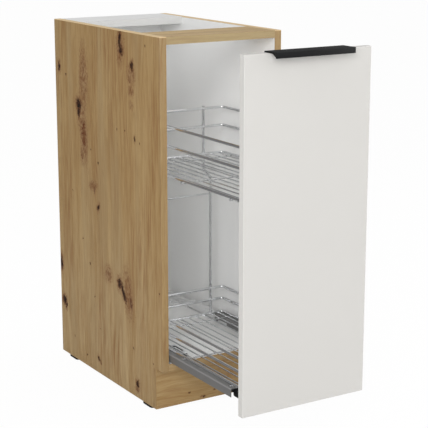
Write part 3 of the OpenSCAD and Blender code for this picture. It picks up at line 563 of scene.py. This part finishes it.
# %% Plinth and rail finishes
def level_oak(name, across_axis, faces, seed, knots, dark, light):
    """Oak with its grain along X. faces gives the two faces that carry the decor."""
    made, tree, shader = finish(name, specular_ior_level=0.25)
    place = object_place(tree)
    x, y, z = parts(tree, place)
    across, through = (y, z) if across_axis == "y" else (z, y)
    oak, height = knotty_oak(tree, vector(tree, 0.0, across, x), knots, seed, dark, light)
    low, high = faces
    depth = maths(tree, "MINIMUM", minus(tree, through, low), minus(tree, high, through))
    chip = use(tree, chipboard, Vector=place)["Color"]
    soft = shine(tree, place, 9.0, 0.40, 0.52)
    feed(tree, shader, mixed(tree, on_skin(tree, depth), chip, oak), soft["Value"], height,
         0.1 * MM)
    return made


PLINTH_SEED, RAIL_SEED = 5.2, 7.9

plinth_low, plinth_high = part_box("plinth")
rail_low, rail_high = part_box("front_top_rail")
plinth_oak = level_oak("oak plinth", "z", (plinth_low.y, plinth_high.y), PLINTH_SEED,
                       PLINTH_KNOTS, srgb(147, 115, 71), srgb(174, 148, 104))
# The rail's tones are lighter than the plinth's: painted light, as the top of the front is lit
# more than its foot.
rail_oak = level_oak("oak rail", "y", (rail_low.z, rail_high.z), RAIL_SEED, [],
                     srgb(182, 152, 106), srgb(208, 184, 142))

# %% [markdown]
# The edge bands are strips of the same oak. They are painted paler on the front top rail and
# palest along the top: painted light where the top faces and the top of the front catch more
# light. Their grain runs along each edge, so the material picks the direction from the place on
# the cabinet: upright on the sides, level between them, and from front to back on the top.

# %% Edge band finish
BAND_T = 1.5 * MM
BAND_SEED = 3.3
TOP_LIGHT_SHARE, RAIL_LIGHT_SHARE = 0.8, 0.36


def either(tree, mask, a, b):
    """The value a where the mask is 0, and b where it is 1."""
    return put(tree, "Mix", {0: mask, 2: a, 3: b}).outputs[0]


band_oak, tree, shader = finish("oak edge band", specular_ior_level=0.3)
place = object_place(tree)
x, y, z = parts(tree, place)
between_sides = maths(tree, "LESS_THAN", maths(tree, "ABSOLUTE", x), INNER_X)
on_top = maths(tree, "GREATER_THAN", z, TOP_Z - BAND_T)
across = either(tree, between_sides, maths(tree, "ADD", x, y), z)
along = either(tree, between_sides, z, x)
across = either(tree, on_top, across, x)
along = either(tree, on_top, along, maths(tree, "ADD", y, z))
colour, height = oak_colour(tree, across, along, BAND_SEED, srgb(147, 116, 74),
                            srgb(171, 145, 103))
# painted light: the top faces of the side bands are made paler
painted_top_light = times(tree, on_top, minus(tree, 1.0, between_sides))
colour = mixed(tree, times(tree, painted_top_light, TOP_LIGHT_SHARE), colour, srgb(236, 208, 162))
# painted light: the band on the front top rail is made paler, as the top of the front is lit more
on_rail = times(tree, between_sides, maths(tree, "GREATER_THAN", z, rail_low.z))
colour = mixed(tree, times(tree, on_rail, RAIL_LIGHT_SHARE), colour, srgb(190, 178, 140))
soft = shine(tree, place, 12.0, 0.38, 0.50)
feed(tree, shader, colour, soft["Value"], height, 0.1 * MM)

# %% [markdown]
# ## White boards and the front
# Melamine is hard and a little glossy, with a faint orange-peel texture that only shows where
# light grazes it. The front's laminate is a warmer off-white with a satin surface. Both are
# nearly even, so their life comes from slow changes in roughness and a very fine bump. The
# back top rail has a light grey band along its front edge, painted over its white.

# %% White finishes
WHITE_SHADE = 0.965
WHITE_CLOUD, WHITE_SOFT = 2.2, 7.0


def clouded(name, dark, light, cloud, soft_scale, low, high, grit_depth=None, **settings):
    """A finish with slow changes of tone and gloss, and a fine grit as its bump."""
    made, tree, shader = finish(name, **settings)
    place = object_place(tree)
    soft = shine(tree, place, soft_scale, low, high)
    feed(tree, shader, mixed(tree, noise(tree, place, cloud), dark, light), soft["Value"],
         soft["Grit"] if grit_depth else None, grit_depth)
    return made


def overpaint(made, amount, colour):
    """Mixes one more colour over what feeds a finish's Base Color."""
    tree = made.node_tree
    base = tree.nodes["Principled BSDF"].inputs["Base Color"]
    tree.links.new(mixed(tree, amount, base.links[0].from_socket, colour), base)


def white_finish(name, colour, low, high, grit_depth):
    shade = tuple(channel * WHITE_SHADE for channel in colour[:3]) + (1.0,)
    return clouded(name, shade, colour, WHITE_CLOUD, WHITE_SOFT, low, high, grit_depth)


melamine = white_finish("white melamine", MELAMINE_WHITE, 0.30, 0.40, 0.04 * MM)
front_laminate = white_finish("front laminate", srgb(208, 206, 202), 0.34, 0.44, 0.05 * MM)
front_band = white_finish("front edge band", srgb(214, 212, 208), 0.36, 0.46, 0.04 * MM)
rail_white = white_finish("white rail", MELAMINE_WHITE, 0.30, 0.40, 0.04 * MM)
tree = rail_white.node_tree
y = parts(tree, object_place(tree))[1]
banded = on_skin(tree, minus(tree, y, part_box("back_top_rail")[0].y))
overpaint(rail_white, banded, srgb(214, 214, 212))

# %% [markdown]
# ## Bright metals
# Chromed wire is a mirror with very little haze, and where it was welded its chrome is duller.
# Zinc plating is duller still, with cloudy spangle that a Voronoi texture gives.

# %% Chrome and zinc
chrome = clouded("chromed wire", srgb(214, 215, 217), srgb(228, 229, 230), 14.0, 30.0, 0.05,
                 0.11, metallic=1.0, specular_tint=(0.66, 0.66, 0.68, 1.0))
weld_chrome = clouded("chrome over welds", srgb(226, 227, 228), srgb(240, 240, 241), 90.0,
                      300.0, 0.28, 0.42, metallic=1.0)

zinc, tree, shader = finish("zinc plate", metallic=0.75)
place = object_place(tree)
spangle = put(tree, "TexVoronoi", {"Vector": place, "Scale": 260.0})
shade = put(tree, "SeparateColor", {0: spangle.outputs["Color"]}).outputs[0]
soft = shine(tree, place, 40.0, 0.28, 0.42)
feed(tree, shader, mixed(tree, shade, srgb(196, 198, 200), srgb(224, 225, 226)),
     maths(tree, "MULTIPLY_ADD", shade, 0.06, soft["Value"]), soft["Grit"], 0.03 * MM)

# %% [markdown]
# ## Runners
# The runners' inner members are rolled strip with a thin white coat, under which the lines of
# the rolling still show. A bright saddle sits over each front foot, and under it the coat is
# painted black, as painted shade beneath the saddle.

# %% Runner coat
saddle_low, saddle_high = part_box("rail_brackets")
runner_coat, tree, shader = finish("white runner coat")
place = object_place(tree)
x, y = parts(tree, place)[:2]
rolled = noise(tree, stretch(tree, place, 400.0, 9.0, 400.0), 1.0, 3.0)
soft = shine(tree, place, 25.0, 0.34, 0.46)
feed(tree, shader, mixed(tree, rolled, srgb(222, 223, 223), srgb(232, 232, 232)),
     soft["Value"], rolled, 0.02 * MM)
# painted shade: the coat under each front saddle is made black
painted_shade_under_saddle = times(tree, maths(tree, "LESS_THAN", y, saddle_high.y),
                     maths(tree, "LESS_THAN", maths(tree, "ABSOLUTE", x), saddle_high.x))
overpaint(runner_coat, painted_shade_under_saddle, srgb(30, 30, 31))

# %% [markdown]
# The saddle is bright steel with a slot. Below its top and round the slot it is painted black:
# painted shade under the top plate and in the slot. The distance from the slot is that from a
# short line: nothing is counted along the line until its end is passed.

# %% Saddle steel
SADDLE_W = 18 * MM
SLOT_HALF = 14 * MM
SLOT_RIM, SLOT_RIM_END = 5.8 * MM, 6.6 * MM
SADDLE_TOP_T, SADDLE_SHADE_FROM = 3 * MM, 5 * MM

saddle_steel = clouded("saddle steel", srgb(214, 216, 218), srgb(232, 233, 234), 60.0, 40.0,
                       0.30, 0.42, 0.03 * MM, metallic=0.6, specular_ior_level=0.22)
tree = saddle_steel.node_tree
x, y, z = parts(tree, object_place(tree))
beside = minus(tree, maths(tree, "ABSOLUTE", x), saddle_high.x - SADDLE_W / 2)
from_middle = maths(tree, "ABSOLUTE", minus(tree, y, (saddle_low.y + saddle_high.y) / 2))
beyond = maths(tree, "MAXIMUM", minus(tree, from_middle, SLOT_HALF), 0.0)
squares = maths(tree, "MULTIPLY_ADD", beyond, beyond, times(tree, beside, beside))
painted_shade_at_slot = between(tree, maths(tree, "SQRT", squares), SLOT_RIM, SLOT_RIM_END, 1.0, 0.0)
# painted shade: black below the saddle's top plate and round its slot
below = between(tree, z, saddle_high.z - SADDLE_SHADE_FROM, saddle_high.z - SADDLE_TOP_T, 1.0, 0.0)
overpaint(saddle_steel, maths(tree, "MAXIMUM", painted_shade_at_slot, below), srgb(26, 26, 27))

# %% [markdown]
# The drawer rails are grey-coated steel. The coat is painted a little lighter on top and lightest
# along the outer fold: a painted highlight where the fold would catch the light. A hook stands up
# behind the basket, so the top of the rail lies lower than the top of its box.

# %% Drawer rail coat
HOOK_H = 8 * MM
TOP_HIGHLIGHT, FOLD_HIGHLIGHT = 0.42, 0.3
TOP_FROM, TOP_FULL = 3.4 * MM, 1.8 * MM
FOLD_FROM, FOLD_FULL = 3.5 * MM, 1 * MM

rail_coat = clouded("grey rail coat", srgb(108, 107, 106), srgb(120, 119, 118), 20.0, 25.0,
                    0.36, 0.48, 0.04 * MM, metallic=0.15)
tree = rail_coat.node_tree
x, z = parts(tree, object_place(tree))[::2]
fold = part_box("right_drawer_rail")[1]
rail_top = fold.z - HOOK_H
# painted highlight along the top of the rail and its outer fold
painted_highlight_band = between(tree, z, rail_top - TOP_FROM, rail_top - TOP_FULL)
outermost = between(tree, maths(tree, "ABSOLUTE", x), fold.x - FOLD_FROM, fold.x - FOLD_FULL)
painted_highlight_share = maths(tree, "MULTIPLY_ADD", outermost, FOLD_HIGHLIGHT, TOP_HIGHLIGHT)
overpaint(rail_coat, times(tree, painted_highlight_band, painted_highlight_share), srgb(152, 151, 150))

# %% [markdown]
# ## Black pieces
# The pull is powder coated black: its texture is a fine grit, and its highlight is broad. The
# moulded glides and arms are a little smoother, with a coarser and shallower grit.

# %% Black finishes
GRIT_DARK = srgb(12, 12, 13)
GRIT_LIGHT = srgb(24, 24, 25)


def black_finish(name, low, high, grit_scale, grit_depth):
    made, tree, shader = finish(name, specular_ior_level=0.22)
    soft = shine(tree, object_place(tree), 18.0, low, high, grit_scale)
    feed(tree, shader, mixed(tree, soft["Grit"], GRIT_DARK, GRIT_LIGHT), soft["Value"],
         soft["Grit"], grit_depth)
    return made


powder_black = black_finish("black powder coat", 0.50, 0.60, 1400.0, 0.10 * MM)
moulded_black = black_finish("black moulding", 0.42, 0.55, 700.0, 0.06 * MM)

# %% [markdown]
# ## Small plastics and dowels
# The ball cages are a pale moulded plastic, the bumpers a clear soft one, and the dowels raw
# beech with its short fine flecks. They hardly show, but a runner that is taken apart should
# look right too.

# %% Small finishes
cage_plastic = clouded("cage plastic", srgb(196, 200, 190), srgb(212, 215, 206), 50.0, 60.0,
                       0.40, 0.52, 0.03 * MM, subsurface_weight=0.1)
clear_rubber = clouded("clear bumper", srgb(214, 218, 218), srgb(228, 230, 230), 90.0, 80.0,
                       0.22, 0.34, alpha=0.6)

beech, tree, shader = finish("raw beech")
place = object_place(tree)
flecks = between(tree, noise(tree, stretch(tree, place, 60.0, 700.0, 700.0), 1.0), 0.56, 0.66)
soft = shine(tree, place, 60.0, 0.6, 0.7)
colour = mixed(tree, times(tree, flecks, 0.5), srgb(205, 173, 128), srgb(158, 118, 76))
feed(tree, shader, colour, soft["Value"], flecks, 0.05 * MM)

# %% [markdown]
# ## Dressing the CAD nodes
# A CAD node whose shape is right stays as it is and only changes its material. The bottom
# panel and the back rails are white boards whose hidden ends may stay white.

# %% Assign materials
def dress(material, *names):
    for name in names:
        slots = nodes[name].data.materials
        slots.clear()
        slots.append(material)


def pairs(*names):
    """The left and the right node of each name."""
    return [side + name for name in names for side in ("left_", "right_")]


dress(left_oak, "left_side")
dress(right_oak, "right_side")
dress(plinth_oak, "plinth")
dress(rail_oak, "front_top_rail")
dress(band_oak, "carcass_edge_bands")
dress(melamine, "bottom_panel", "back_panel")
dress(rail_white, "back_top_rail")
dress(front_laminate, "front_panel")
dress(front_band, "front_edge_bands")
dress(powder_black, "edge_pull")
dress(moulded_black, "glides", "rail_front_brackets")
dress(beech, "dowels")
dress(clear_rubber, "bumpers")
dress(rail_coat, *pairs("drawer_rail"))
dress(runner_coat, *pairs("cabinet_rail", "mid_rail"))
dress(chrome, "rail_rivets", "upper_basket_floor", "upper_basket_rails", "lower_basket_floor",
      "lower_basket_rails", "rear_link_frame", *pairs("inner_balls", "outer_balls"))
dress(saddle_steel, "rail_brackets")
dress(zinc, "cam_bolts", "cam_locks", "back_panel_pins", "rail_fixing_screws",
      "front_link_bars", "door_screws", "edge_pull_screws")
dress(cage_plastic, *pairs("inner_cage", "outer_cage"))
print(len(nodes), "CAD nodes dressed")

# %% [markdown]
# ## Modelling helpers
# Small pieces are modelled with Blender's own operators, as by hand. An operator works on all
# that is selected, so `only` and `open_mesh` first deselect everything. `ready` gives a finished
# piece its material and its body.

# %% Modelling helpers
MERGE = 0.001 * MM


def only(obj):
    """Leaves only obj selected, or nothing at all."""
    bpy.ops.object.select_all(action="DESELECT")
    if obj:
        obj.select_set(True)
        bpy.context.view_layer.objects.active = obj


def open_mesh(obj, action="DESELECT"):
    """Opens obj alone in edit mode, with nothing or everything picked."""
    only(obj)
    bpy.ops.object.mode_set(mode="EDIT")
    bpy.ops.mesh.select_all(action=action)


def ready(piece, material, body, *replaced):
    """Gives a finished piece its material, its body and the nodes that it stands for."""
    piece.data.materials.clear()
    piece.data.materials.append(material)
    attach(piece, body)
    if replaced:
        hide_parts(*replaced)
    print(piece.name, len(piece.data.polygons), "faces on", body)


print("modelling helpers ready")

# %% [markdown]
# A CAD node can hold several solids, such as eight screws. To find where each one sits, a
# spare copy is merged and separated into loose parts, whose boxes are read before the copy is
# thrown away. A merged copy is also the start of a piece whose edges only need easing.

# %% Copies of CAD nodes
def merged_copy(name):
    """A spare copy of a node's mesh with its loose triangles merged."""
    copy = bpy.data.objects.new(name + "_copy", nodes[name].data.copy())
    scene.collection.objects.link(copy)
    open_mesh(copy, "SELECT")
    bpy.ops.mesh.remove_doubles(threshold=MERGE)
    bpy.ops.object.mode_set(mode="OBJECT")
    return copy


def solid_boxes(name):
    """The lowest and highest corner of each solid in a node."""
    open_mesh(merged_copy(name), "SELECT")
    bpy.ops.mesh.separate(type="LOOSE")
    bpy.ops.object.mode_set(mode="OBJECT")
    boxes = []
    for part in list(bpy.context.selected_objects):
        corners = [[vertex.co[axis] for vertex in part.data.vertices] for axis in range(3)]
        boxes.append(([min(line) for line in corners], [max(line) for line in corners]))
        bpy.data.objects.remove(part)
    print(name, len(boxes), "solids")
    return sorted(boxes)


# %% [markdown]
# ## Eased pieces
# No folded or moulded edge is razor sharp, and it is the rounding that catches the light. The
# pull's ends, the glides, the flat bars and the moulded arms get theirs from a Bevel modifier
# on a merged copy, because their CAD shape is already right and only the edges are missing.

# %% Eased pieces
FLAT_DEGREES, SHARP_DEGREES, SMOOTH_DEGREES = 1, 35, 50


def eased_copy(node, name, width, material, body, segments=2):
    """A copy of a node whose sharp edges are rounded off."""
    copy = merged_copy(node)
    copy.name = name
    open_mesh(copy, "SELECT")
    bpy.ops.mesh.dissolve_limited(angle_limit=math.radians(FLAT_DEGREES))
    bpy.ops.object.mode_set(mode="OBJECT")
    edge = copy.modifiers.new("eased", "BEVEL")
    edge.width = width
    edge.segments = segments
    edge.limit_method = "ANGLE"
    edge.angle_limit = math.radians(SHARP_DEGREES)
    bpy.ops.object.modifier_apply(modifier=edge.name)
    bpy.ops.object.shade_smooth_by_angle(angle=math.radians(SMOOTH_DEGREES))
    ready(copy, material, body, node)


eased_copy("edge_pull", "pull_profile", 0.35 * MM, powder_black, "pull_out")
eased_copy("glides", "foot_glides", 0.9 * MM, moulded_black, "carcass", 3)
eased_copy("front_link_bars", "flat_bars", 0.4 * MM, zinc, "pull_out")
eased_copy("rail_front_brackets", "moulded_arms", 0.5 * MM, moulded_black, "pull_out")

# %% [markdown]
# ## Screws
# The CAD screws are plain cylinders. A real pan-head screw has a domed head with a cross
# recess, and a thread. They are shaped in edit mode, where `pick` selects faces, edges or points
# by their place, and `shut_mesh` merges doubles and turns all faces outwards.

# %% Picking and shutting
def pick(kind, test):
    """Picks the faces, edges or verts of the open mesh for which test is true."""
    bpy.ops.mesh.select_all(action="DESELECT")
    bpy.ops.mesh.select_mode(type={"verts": "VERT", "edges": "EDGE", "faces": "FACE"}[kind])
    data = bpy.context.edit_object.data
    mesh = bmesh.from_edit_mesh(data)
    for element in getattr(mesh, kind):
        if test(element):
            element.select_set(True)
    mesh.select_flush_mode()
    bmesh.update_edit_mesh(data)


def shut_mesh(angle=40):
    """Merges doubles, turns faces outwards, and smooths all but the sharp edges."""
    bpy.ops.mesh.select_mode(type="VERT")
    bpy.ops.mesh.select_all(action="SELECT")
    bpy.ops.mesh.remove_doubles(threshold=MERGE)
    bpy.ops.mesh.normals_make_consistent(inside=False)
    bpy.ops.object.mode_set(mode="OBJECT")
    bpy.ops.object.shade_smooth_by_angle(angle=math.radians(angle))


print("edit helpers ready")

# %% [markdown]
# The thread starts from the ring under the head. It is extruded again and again, by turns
# thinner and thicker, and a last time to the tip.

# %% Thread of a screw
THREAD_TURNS = 6
THREAD_SHARE = 0.8
THREAD_WAIST = 0.78
TIP_RATIO = 0.25


def thread(length):
    """Extrudes the picked ring down as a thread and a tip."""
    half_turn = length * THREAD_SHARE / (2 * THREAD_TURNS)
    ratios = [THREAD_WAIST, 1 / THREAD_WAIST] * THREAD_TURNS + [TIP_RATIO]
    downs = [half_turn] * (2 * THREAD_TURNS) + [length * (1 - THREAD_SHARE)]
    for down, ratio in zip(downs, ratios):
        bpy.ops.mesh.extrude_region_move(TRANSFORM_OT_translate={"value": (0, 0, -down)})
        bpy.ops.transform.resize(value=(ratio, ratio, 1))


print(2 * THREAD_TURNS, "steps to a thread")

# %% [markdown]
# The cross recess is cut by two boxes at right angles with Boolean modifiers. A box is tapered
# by drawing its lower points together, and it reaches a little past the head on top.

# %% Cross recess
RECESS = (1.15, 0.30, 1.3)
RECESS_TAPER = (0.45, 0.8, 1)


def cut_recess(screw, top_r, head_t, turn):
    """Cuts one slot of the cross with a box that is narrower below."""
    only(None)
    bpy.ops.mesh.primitive_cube_add(size=1, location=(0, 0, head_t))
    cutter = bpy.context.object
    cutter.scale = [share * size for share, size in zip(RECESS, (top_r, top_r, head_t))]
    bpy.ops.object.transform_apply(location=False, rotation=False, scale=True)
    open_mesh(cutter)
    pick("verts", lambda vertex: vertex.co.z < 0)
    bpy.ops.transform.resize(value=RECESS_TAPER)
    bpy.ops.object.mode_set(mode="OBJECT")
    cutter.rotation_euler = (0, 0, math.radians(turn))
    bpy.context.view_layer.update()
    cut = screw.modifiers.new("recess", "BOOLEAN")
    cut.operation = "DIFFERENCE"
    cut.object = cutter
    bpy.context.view_layer.objects.active = screw
    bpy.ops.object.modifier_apply(modifier=cut.name)
    bpy.data.objects.remove(cutter)


print("recess ready")

# %% [markdown]
# The head is a cone or a cylinder. Its top rim is bevelled to a dome, and its underside is inset
# to the shank's width before the thread is drawn out of it.

# %% A cross-recess screw
def cross_screw(top_r, under_r, head_t, shank_r, length, dome):
    """A screw along Z: its head sits on z = 0 and its shank points down."""
    only(None)
    bpy.ops.mesh.primitive_cone_add(vertices=20, radius1=under_r, radius2=top_r, depth=head_t,
                                    location=(0, 0, head_t / 2))
    screw = bpy.context.object
    bpy.ops.object.transform_apply(location=True, rotation=True, scale=True)
    open_mesh(screw)
    if dome:
        pick("edges", lambda edge: all(v.co.z > head_t * 0.9 for v in edge.verts))
        bpy.ops.mesh.bevel(offset=dome, segments=3, affect="EDGES")
    pick("faces", lambda face: face.normal.z < -0.9)
    if under_r > shank_r + 0.01 * MM:
        bpy.ops.mesh.inset(thickness=under_r - shank_r)
    thread(length)
    shut_mesh()
    for turn in (0, 90):
        cut_recess(screw, top_r, head_t, turn)
    return screw


print("screw ready")

# %% [markdown]
# Each screw is turned so that its head lies where the CAD cylinder ends: upwards in the floor
# of the cabinet, and backwards behind the front, in the flat bars and the pull's flange. One
# screw is modelled, and `stamped` copies it to all its places and joins the copies.

# %% Screws in their places
PAN_R, PAN_T, PAN_DOME = 3.5 * MM, 2 * MM, 1.1 * MM
SCREW_R, SCREW_L = 1.75 * MM, 14 * MM
SUNK_R, SUNK_UNDER_R, SUNK_T = 3 * MM, 1.75 * MM, 1 * MM
PULL_SCREW_R, PULL_SCREW_L = 1.5 * MM, 11 * MM
UPRIGHT = Matrix.Identity(4)
UP_TO_BACK = Matrix.Rotation(math.radians(-90), 4, "X")


def centre(low, high, **ends):
    """The middle of a box, with any axis that is named set to one end."""
    return [ends.get(axis, (low[i] + high[i]) / 2) for i, axis in enumerate("xyz")]


def stamped(model, name, places):
    """Copies model's mesh to each place, joins the copies, and removes the model."""
    copies = []
    for place in places:
        copy = model.copy()
        copy.data = model.data.copy()
        copy.data.transform(place)
        scene.collection.objects.link(copy)
        copies.append(copy)
    bpy.data.objects.remove(model)
    only(copies[0])
    for copy in copies:
        copy.select_set(True)
    bpy.ops.object.join()
    copies[0].name = name
    return copies[0]


def drive(screw, head_t, turn, node, name, body):
    """Puts a screw at each solid of a node, head up or, when turned, head back."""
    seats = []
    for low, high in solid_boxes(node):
        head = centre(low, high, z=high[2]) if turn == UPRIGHT else centre(low, high, y=high[1])
        seats.append(Matrix.Translation(head) @ turn @ Matrix.Translation((0, 0, -head_t)))
    ready(stamped(screw, name, seats), zinc, body, node)


def pan_screw():
    return cross_screw(PAN_R, PAN_R, PAN_T, SCREW_R, SCREW_L, PAN_DOME)


drive(pan_screw(), PAN_T, UPRIGHT, "rail_fixing_screws", "foot_screws", "carcass")
drive(pan_screw(), PAN_T, UP_TO_BACK, "door_screws", "front_screws", "pull_out")
sunk = cross_screw(SUNK_R, SUNK_UNDER_R, SUNK_T, PULL_SCREW_R, PULL_SCREW_L, 0)
drive(sunk, SUNK_T, UP_TO_BACK, "edge_pull_screws", "pull_flange_screws", "pull_out")

# %% [markdown]
# ## Bumpers
# A stick-on bumper is a clear dome. A sphere is cut in half by a bisect that also fills the
# flat side, squashed to the bumper's height, and stamped at the four places on the back of the
# front.

# %% Domed bumpers
def half_dome(radius, height, segments, rings):
    """A squashed half sphere on z = 0, closed below."""
    only(None)
    bpy.ops.mesh.primitive_uv_sphere_add(segments=segments, ring_count=rings, radius=radius)
    dome = bpy.context.object
    open_mesh(dome, "SELECT")
    bpy.ops.mesh.bisect(plane_co=(0, 0, 0), plane_no=(0, 0, 1), clear_inner=True, use_fill=True)
    bpy.ops.mesh.select_all(action="SELECT")
    bpy.ops.transform.resize(value=(1, 1, height / radius), center_override=(0, 0, 0))
    shut_mesh()
    return dome


boxes = solid_boxes("bumpers")
low, high = boxes[0]
seats = [Matrix.Translation(centre(low, high, y=low[1])) @ UP_TO_BACK for low, high in boxes]
bumper = half_dome((high[0] - low[0]) / 2, high[1] - low[1], 24, 12)
ready(stamped(bumper, "domed_bumpers", seats), clear_rubber, "pull_out", "bumpers")

# %% [markdown]
# ## Welds
# The baskets are welded: where two wires cross, the heat leaves a small swelling that fills the
# corners between them, and the chrome over it glints. The crossings follow from the baskets'
# boxes and the pitch of their wires. A bead lies flat between the floor's wires, and behind the
# baskets it stands against the rods.

# %% Places of the weld beads
RAIL_R = 3 * MM
ROD_R = 3.25 * MM
WIRES_EACH_SIDE = 6
WIRE_EDGE = 12.75 * MM
WIRE_MIDDLE = 11.5 * MM / 2
CROSS_FIRST, CROSS_PITCH, CROSSES = 42 * MM, 202 * MM, 3
CROSS_DIP, RIM_DIP, SIDE_DIP = 2.8 * MM, 1.8 * MM, 2.9 * MM
HALF_GAP = 0.1 * MM
ROD_JOG = 19 * MM
JOG_ABOVE = 500 * MM
BOTH = (-1, 1)


def bead_places(floor_node, rails_node):
    """Where wires cross in one basket: the floor's crossings, its rim, and the rods behind."""
    low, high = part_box(floor_node)
    side_x, front, back = high.x - RAIL_R, low.y + RAIL_R, high.y - RAIL_R
    base = high.z - RAIL_R
    pitch = (side_x - WIRE_EDGE - WIRE_MIDDLE) / (WIRES_EACH_SIDE - 1)
    wires = [turn * (WIRE_MIDDLE + i * pitch) for i in range(WIRES_EACH_SIDE) for turn in BOTH]
    across = [front + CROSS_FIRST + i * CROSS_PITCH for i in range(CROSSES)]
    places = [(x, y, base - CROSS_DIP, 0) for x in wires for y in across]
    places += [(x, y, base - RIM_DIP, 0) for x in wires for y in (front + RAIL_R, back - RAIL_R)]
    places += [(turn * side_x, y, base - SIDE_DIP, 0) for y in across for turn in BOTH]
    loops = [(bottom[2] + top[2]) / 2 for bottom, top in solid_boxes(rails_node)]
    for height in [base] + loops:
        rod_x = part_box("rear_link_frame")[1].x - ROD_R - (ROD_JOG if height > JOG_ABOVE else 0)
        places += [(turn * rod_x, back + RAIL_R + HALF_GAP, height, 90) for turn in BOTH]
    return places


places = bead_places("upper_basket_floor", "upper_basket_rails")
places += bead_places("lower_basket_floor", "lower_basket_rails")
print(len(places), "welds")

# %% [markdown]
# The bead is one low icosphere, flattened and stamped at every crossing, so that each has only
# a few dozen faces.

# %% Weld beads
BEAD = (2.6 * MM, 2.3 * MM, 1.2 * MM)

only(None)
bpy.ops.mesh.primitive_ico_sphere_add(subdivisions=2, radius=1.0)
bead = bpy.context.object
open_mesh(bead, "SELECT")
bpy.ops.transform.resize(value=BEAD, center_override=(0, 0, 0))
shut_mesh(180)
seats = [Matrix.Translation(place[:3]) @ Matrix.Rotation(math.radians(place[3]), 4, "X")
         for place in places]
ready(stamped(bead, "weld_beads", seats), weld_chrome, "pull_out")

# %% [markdown]
# The rods' upper ends are tumbled round, so each gets a shallow cap. It is a squashed half
# sphere, as the bumpers are, and a hair narrower than the rod, so that no rim stands proud.

# %% Rod ends
CAP_H = 1.2 * MM
CAP_INSET = 0.05 * MM

rod_low, rod_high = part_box("rear_link_frame")
rod_x = rod_high.x - ROD_R - ROD_JOG
rod_y = (rod_low.y + rod_high.y) / 2
cap = half_dome(ROD_R - CAP_INSET, CAP_H, 20, 10)
seats = [Matrix.Translation((turn * rod_x, rod_y, rod_high.z)) for turn in BOTH]
ready(stamped(cap, "rod_ends", seats), chrome, "pull_out")

# %% [markdown]
# ## Studio
# The cabinet stands on a pale floor in an even studio. The world is white to the camera, and
# a plain grey light from all sides to the object. Chrome mirrors white in front and overhead,
# and grey elsewhere, as in a studio with one lit wall, because that contrast is what makes it
# read as chrome.

# %% World
AMBIENT = 0.50
MIRROR_DIM = 0.54
TO_SOFTBOX = (0.10, -0.86, 0.50)
SOFTBOX_EDGE, SOFTBOX_FULL = 0.05, 0.75
WHITE = (1, 1, 1, 1)


def seen(tree, mirrored):
    """1 for straight rays and rays through something clear, mirrored for reflected ones."""
    path = put(tree, "LightPath").outputs
    clear = maths(tree, "MAXIMUM", path["Is Camera Ray"], path["Is Transmission Ray"])
    return maths(tree, "MAXIMUM", clear, times(tree, path["Is Glossy Ray"], mirrored))


def blend_to(tree, amount, first, second, output):
    """Mixes two shaders into a tree's output node."""
    both = put(tree, "MixShader", {0: amount, 1: first.outputs[0], 2: second.outputs[0]})
    tree.links.new(both.outputs[0], tree.nodes[output].inputs["Surface"])


scene.world = bpy.data.worlds.new("studio")
scene.world.use_nodes = True
tree = scene.world.node_tree
direction = put(tree, "TexCoord").outputs["Generated"]
facing = put(tree, "VectorMath", {0: direction, 1: TO_SOFTBOX}, operation="DOT_PRODUCT")
softbox = between(tree, facing.outputs["Value"], SOFTBOX_EDGE, SOFTBOX_FULL)
dimmed = times(tree, put(tree, "LightPath").outputs["Is Glossy Ray"], MIRROR_DIM)
lit = tree.nodes["Background"]
lit.inputs["Color"].default_value = WHITE
tree.links.new(times(tree, AMBIENT, minus(tree, 1.0, dimmed)), lit.inputs["Strength"])
white = put(tree, "Background", {"Color": WHITE, "Strength": 1.0})
blend_to(tree, seen(tree, softbox), lit, white, "World Output")
print("world ready")

# %% [markdown]
# The floor is nearly white and keeps a faint shadow. Most of what the camera sees of it is its
# own even glow, and the small rest is a matt surface that the cabinet darkens. It lies a hair
# below the glides, so that the two never share a plane.

# %% Floor
FLOOR_GLOW = 0.965
FLOOR_MIRROR = 0.1

bpy.ops.mesh.primitive_plane_add(size=30, location=(0, 0, -0.2 * MM))
floor = bpy.context.object
floor.name = "floor"
floor_paint, tree, matt = finish("studio floor", roughness=0.9)
mirrored = put(tree, "LightPath").outputs["Is Glossy Ray"]
# In reflections the floor is grey instead of white: a painted reflection that gives the chrome
# dark undersides.
tree.links.new(mixed(tree, mirrored, WHITE, srgb(124, 124, 125)), matt.inputs["Base Color"])
glow = put(tree, "Emission", {"Color": WHITE, "Strength": 1.0})
blend_to(tree, times(tree, seen(tree, FLOOR_MIRROR), FLOOR_GLOW), matt, glow, "Material Output")
floor.data.materials.append(floor_paint)
print("floor ready")

# %% [markdown]
# A large soft lamp on the camera's side reaches into the open cabinet, a weaker one from the
# right fills in behind the front, and a wide one overhead lights the tops.

# %% Lamps
def soft_lamp(name, place, aim_z, size, watts, glare=1.0):
    """A square lamp aimed at the cabinet's axis."""
    data = bpy.data.lights.new(name, "AREA")
    data.size = size
    data.energy = watts
    data.specular_factor = glare
    lamp = bpy.data.objects.new(name, data)
    lamp.location = place
    x, y, z = place
    lamp.rotation_euler = (math.atan2(math.hypot(x, y), z - aim_z), 0,
                           math.atan2(-y, -x) - math.pi / 2)
    scene.collection.objects.link(lamp)
    print("lamp", name, watts, "W")


soft_lamp("key", (-2.3, -3.2, 2.1), 0.45, 2.2, 92)
soft_lamp("fill", (2.5, -1.0, 1.2), 0.45, 1.6, 24, 0.6)
soft_lamp("overhead", (0.2, 0.3, 3.4), 0.5, 2.6, 22)
scene.view_settings.view_transform = "Standard"
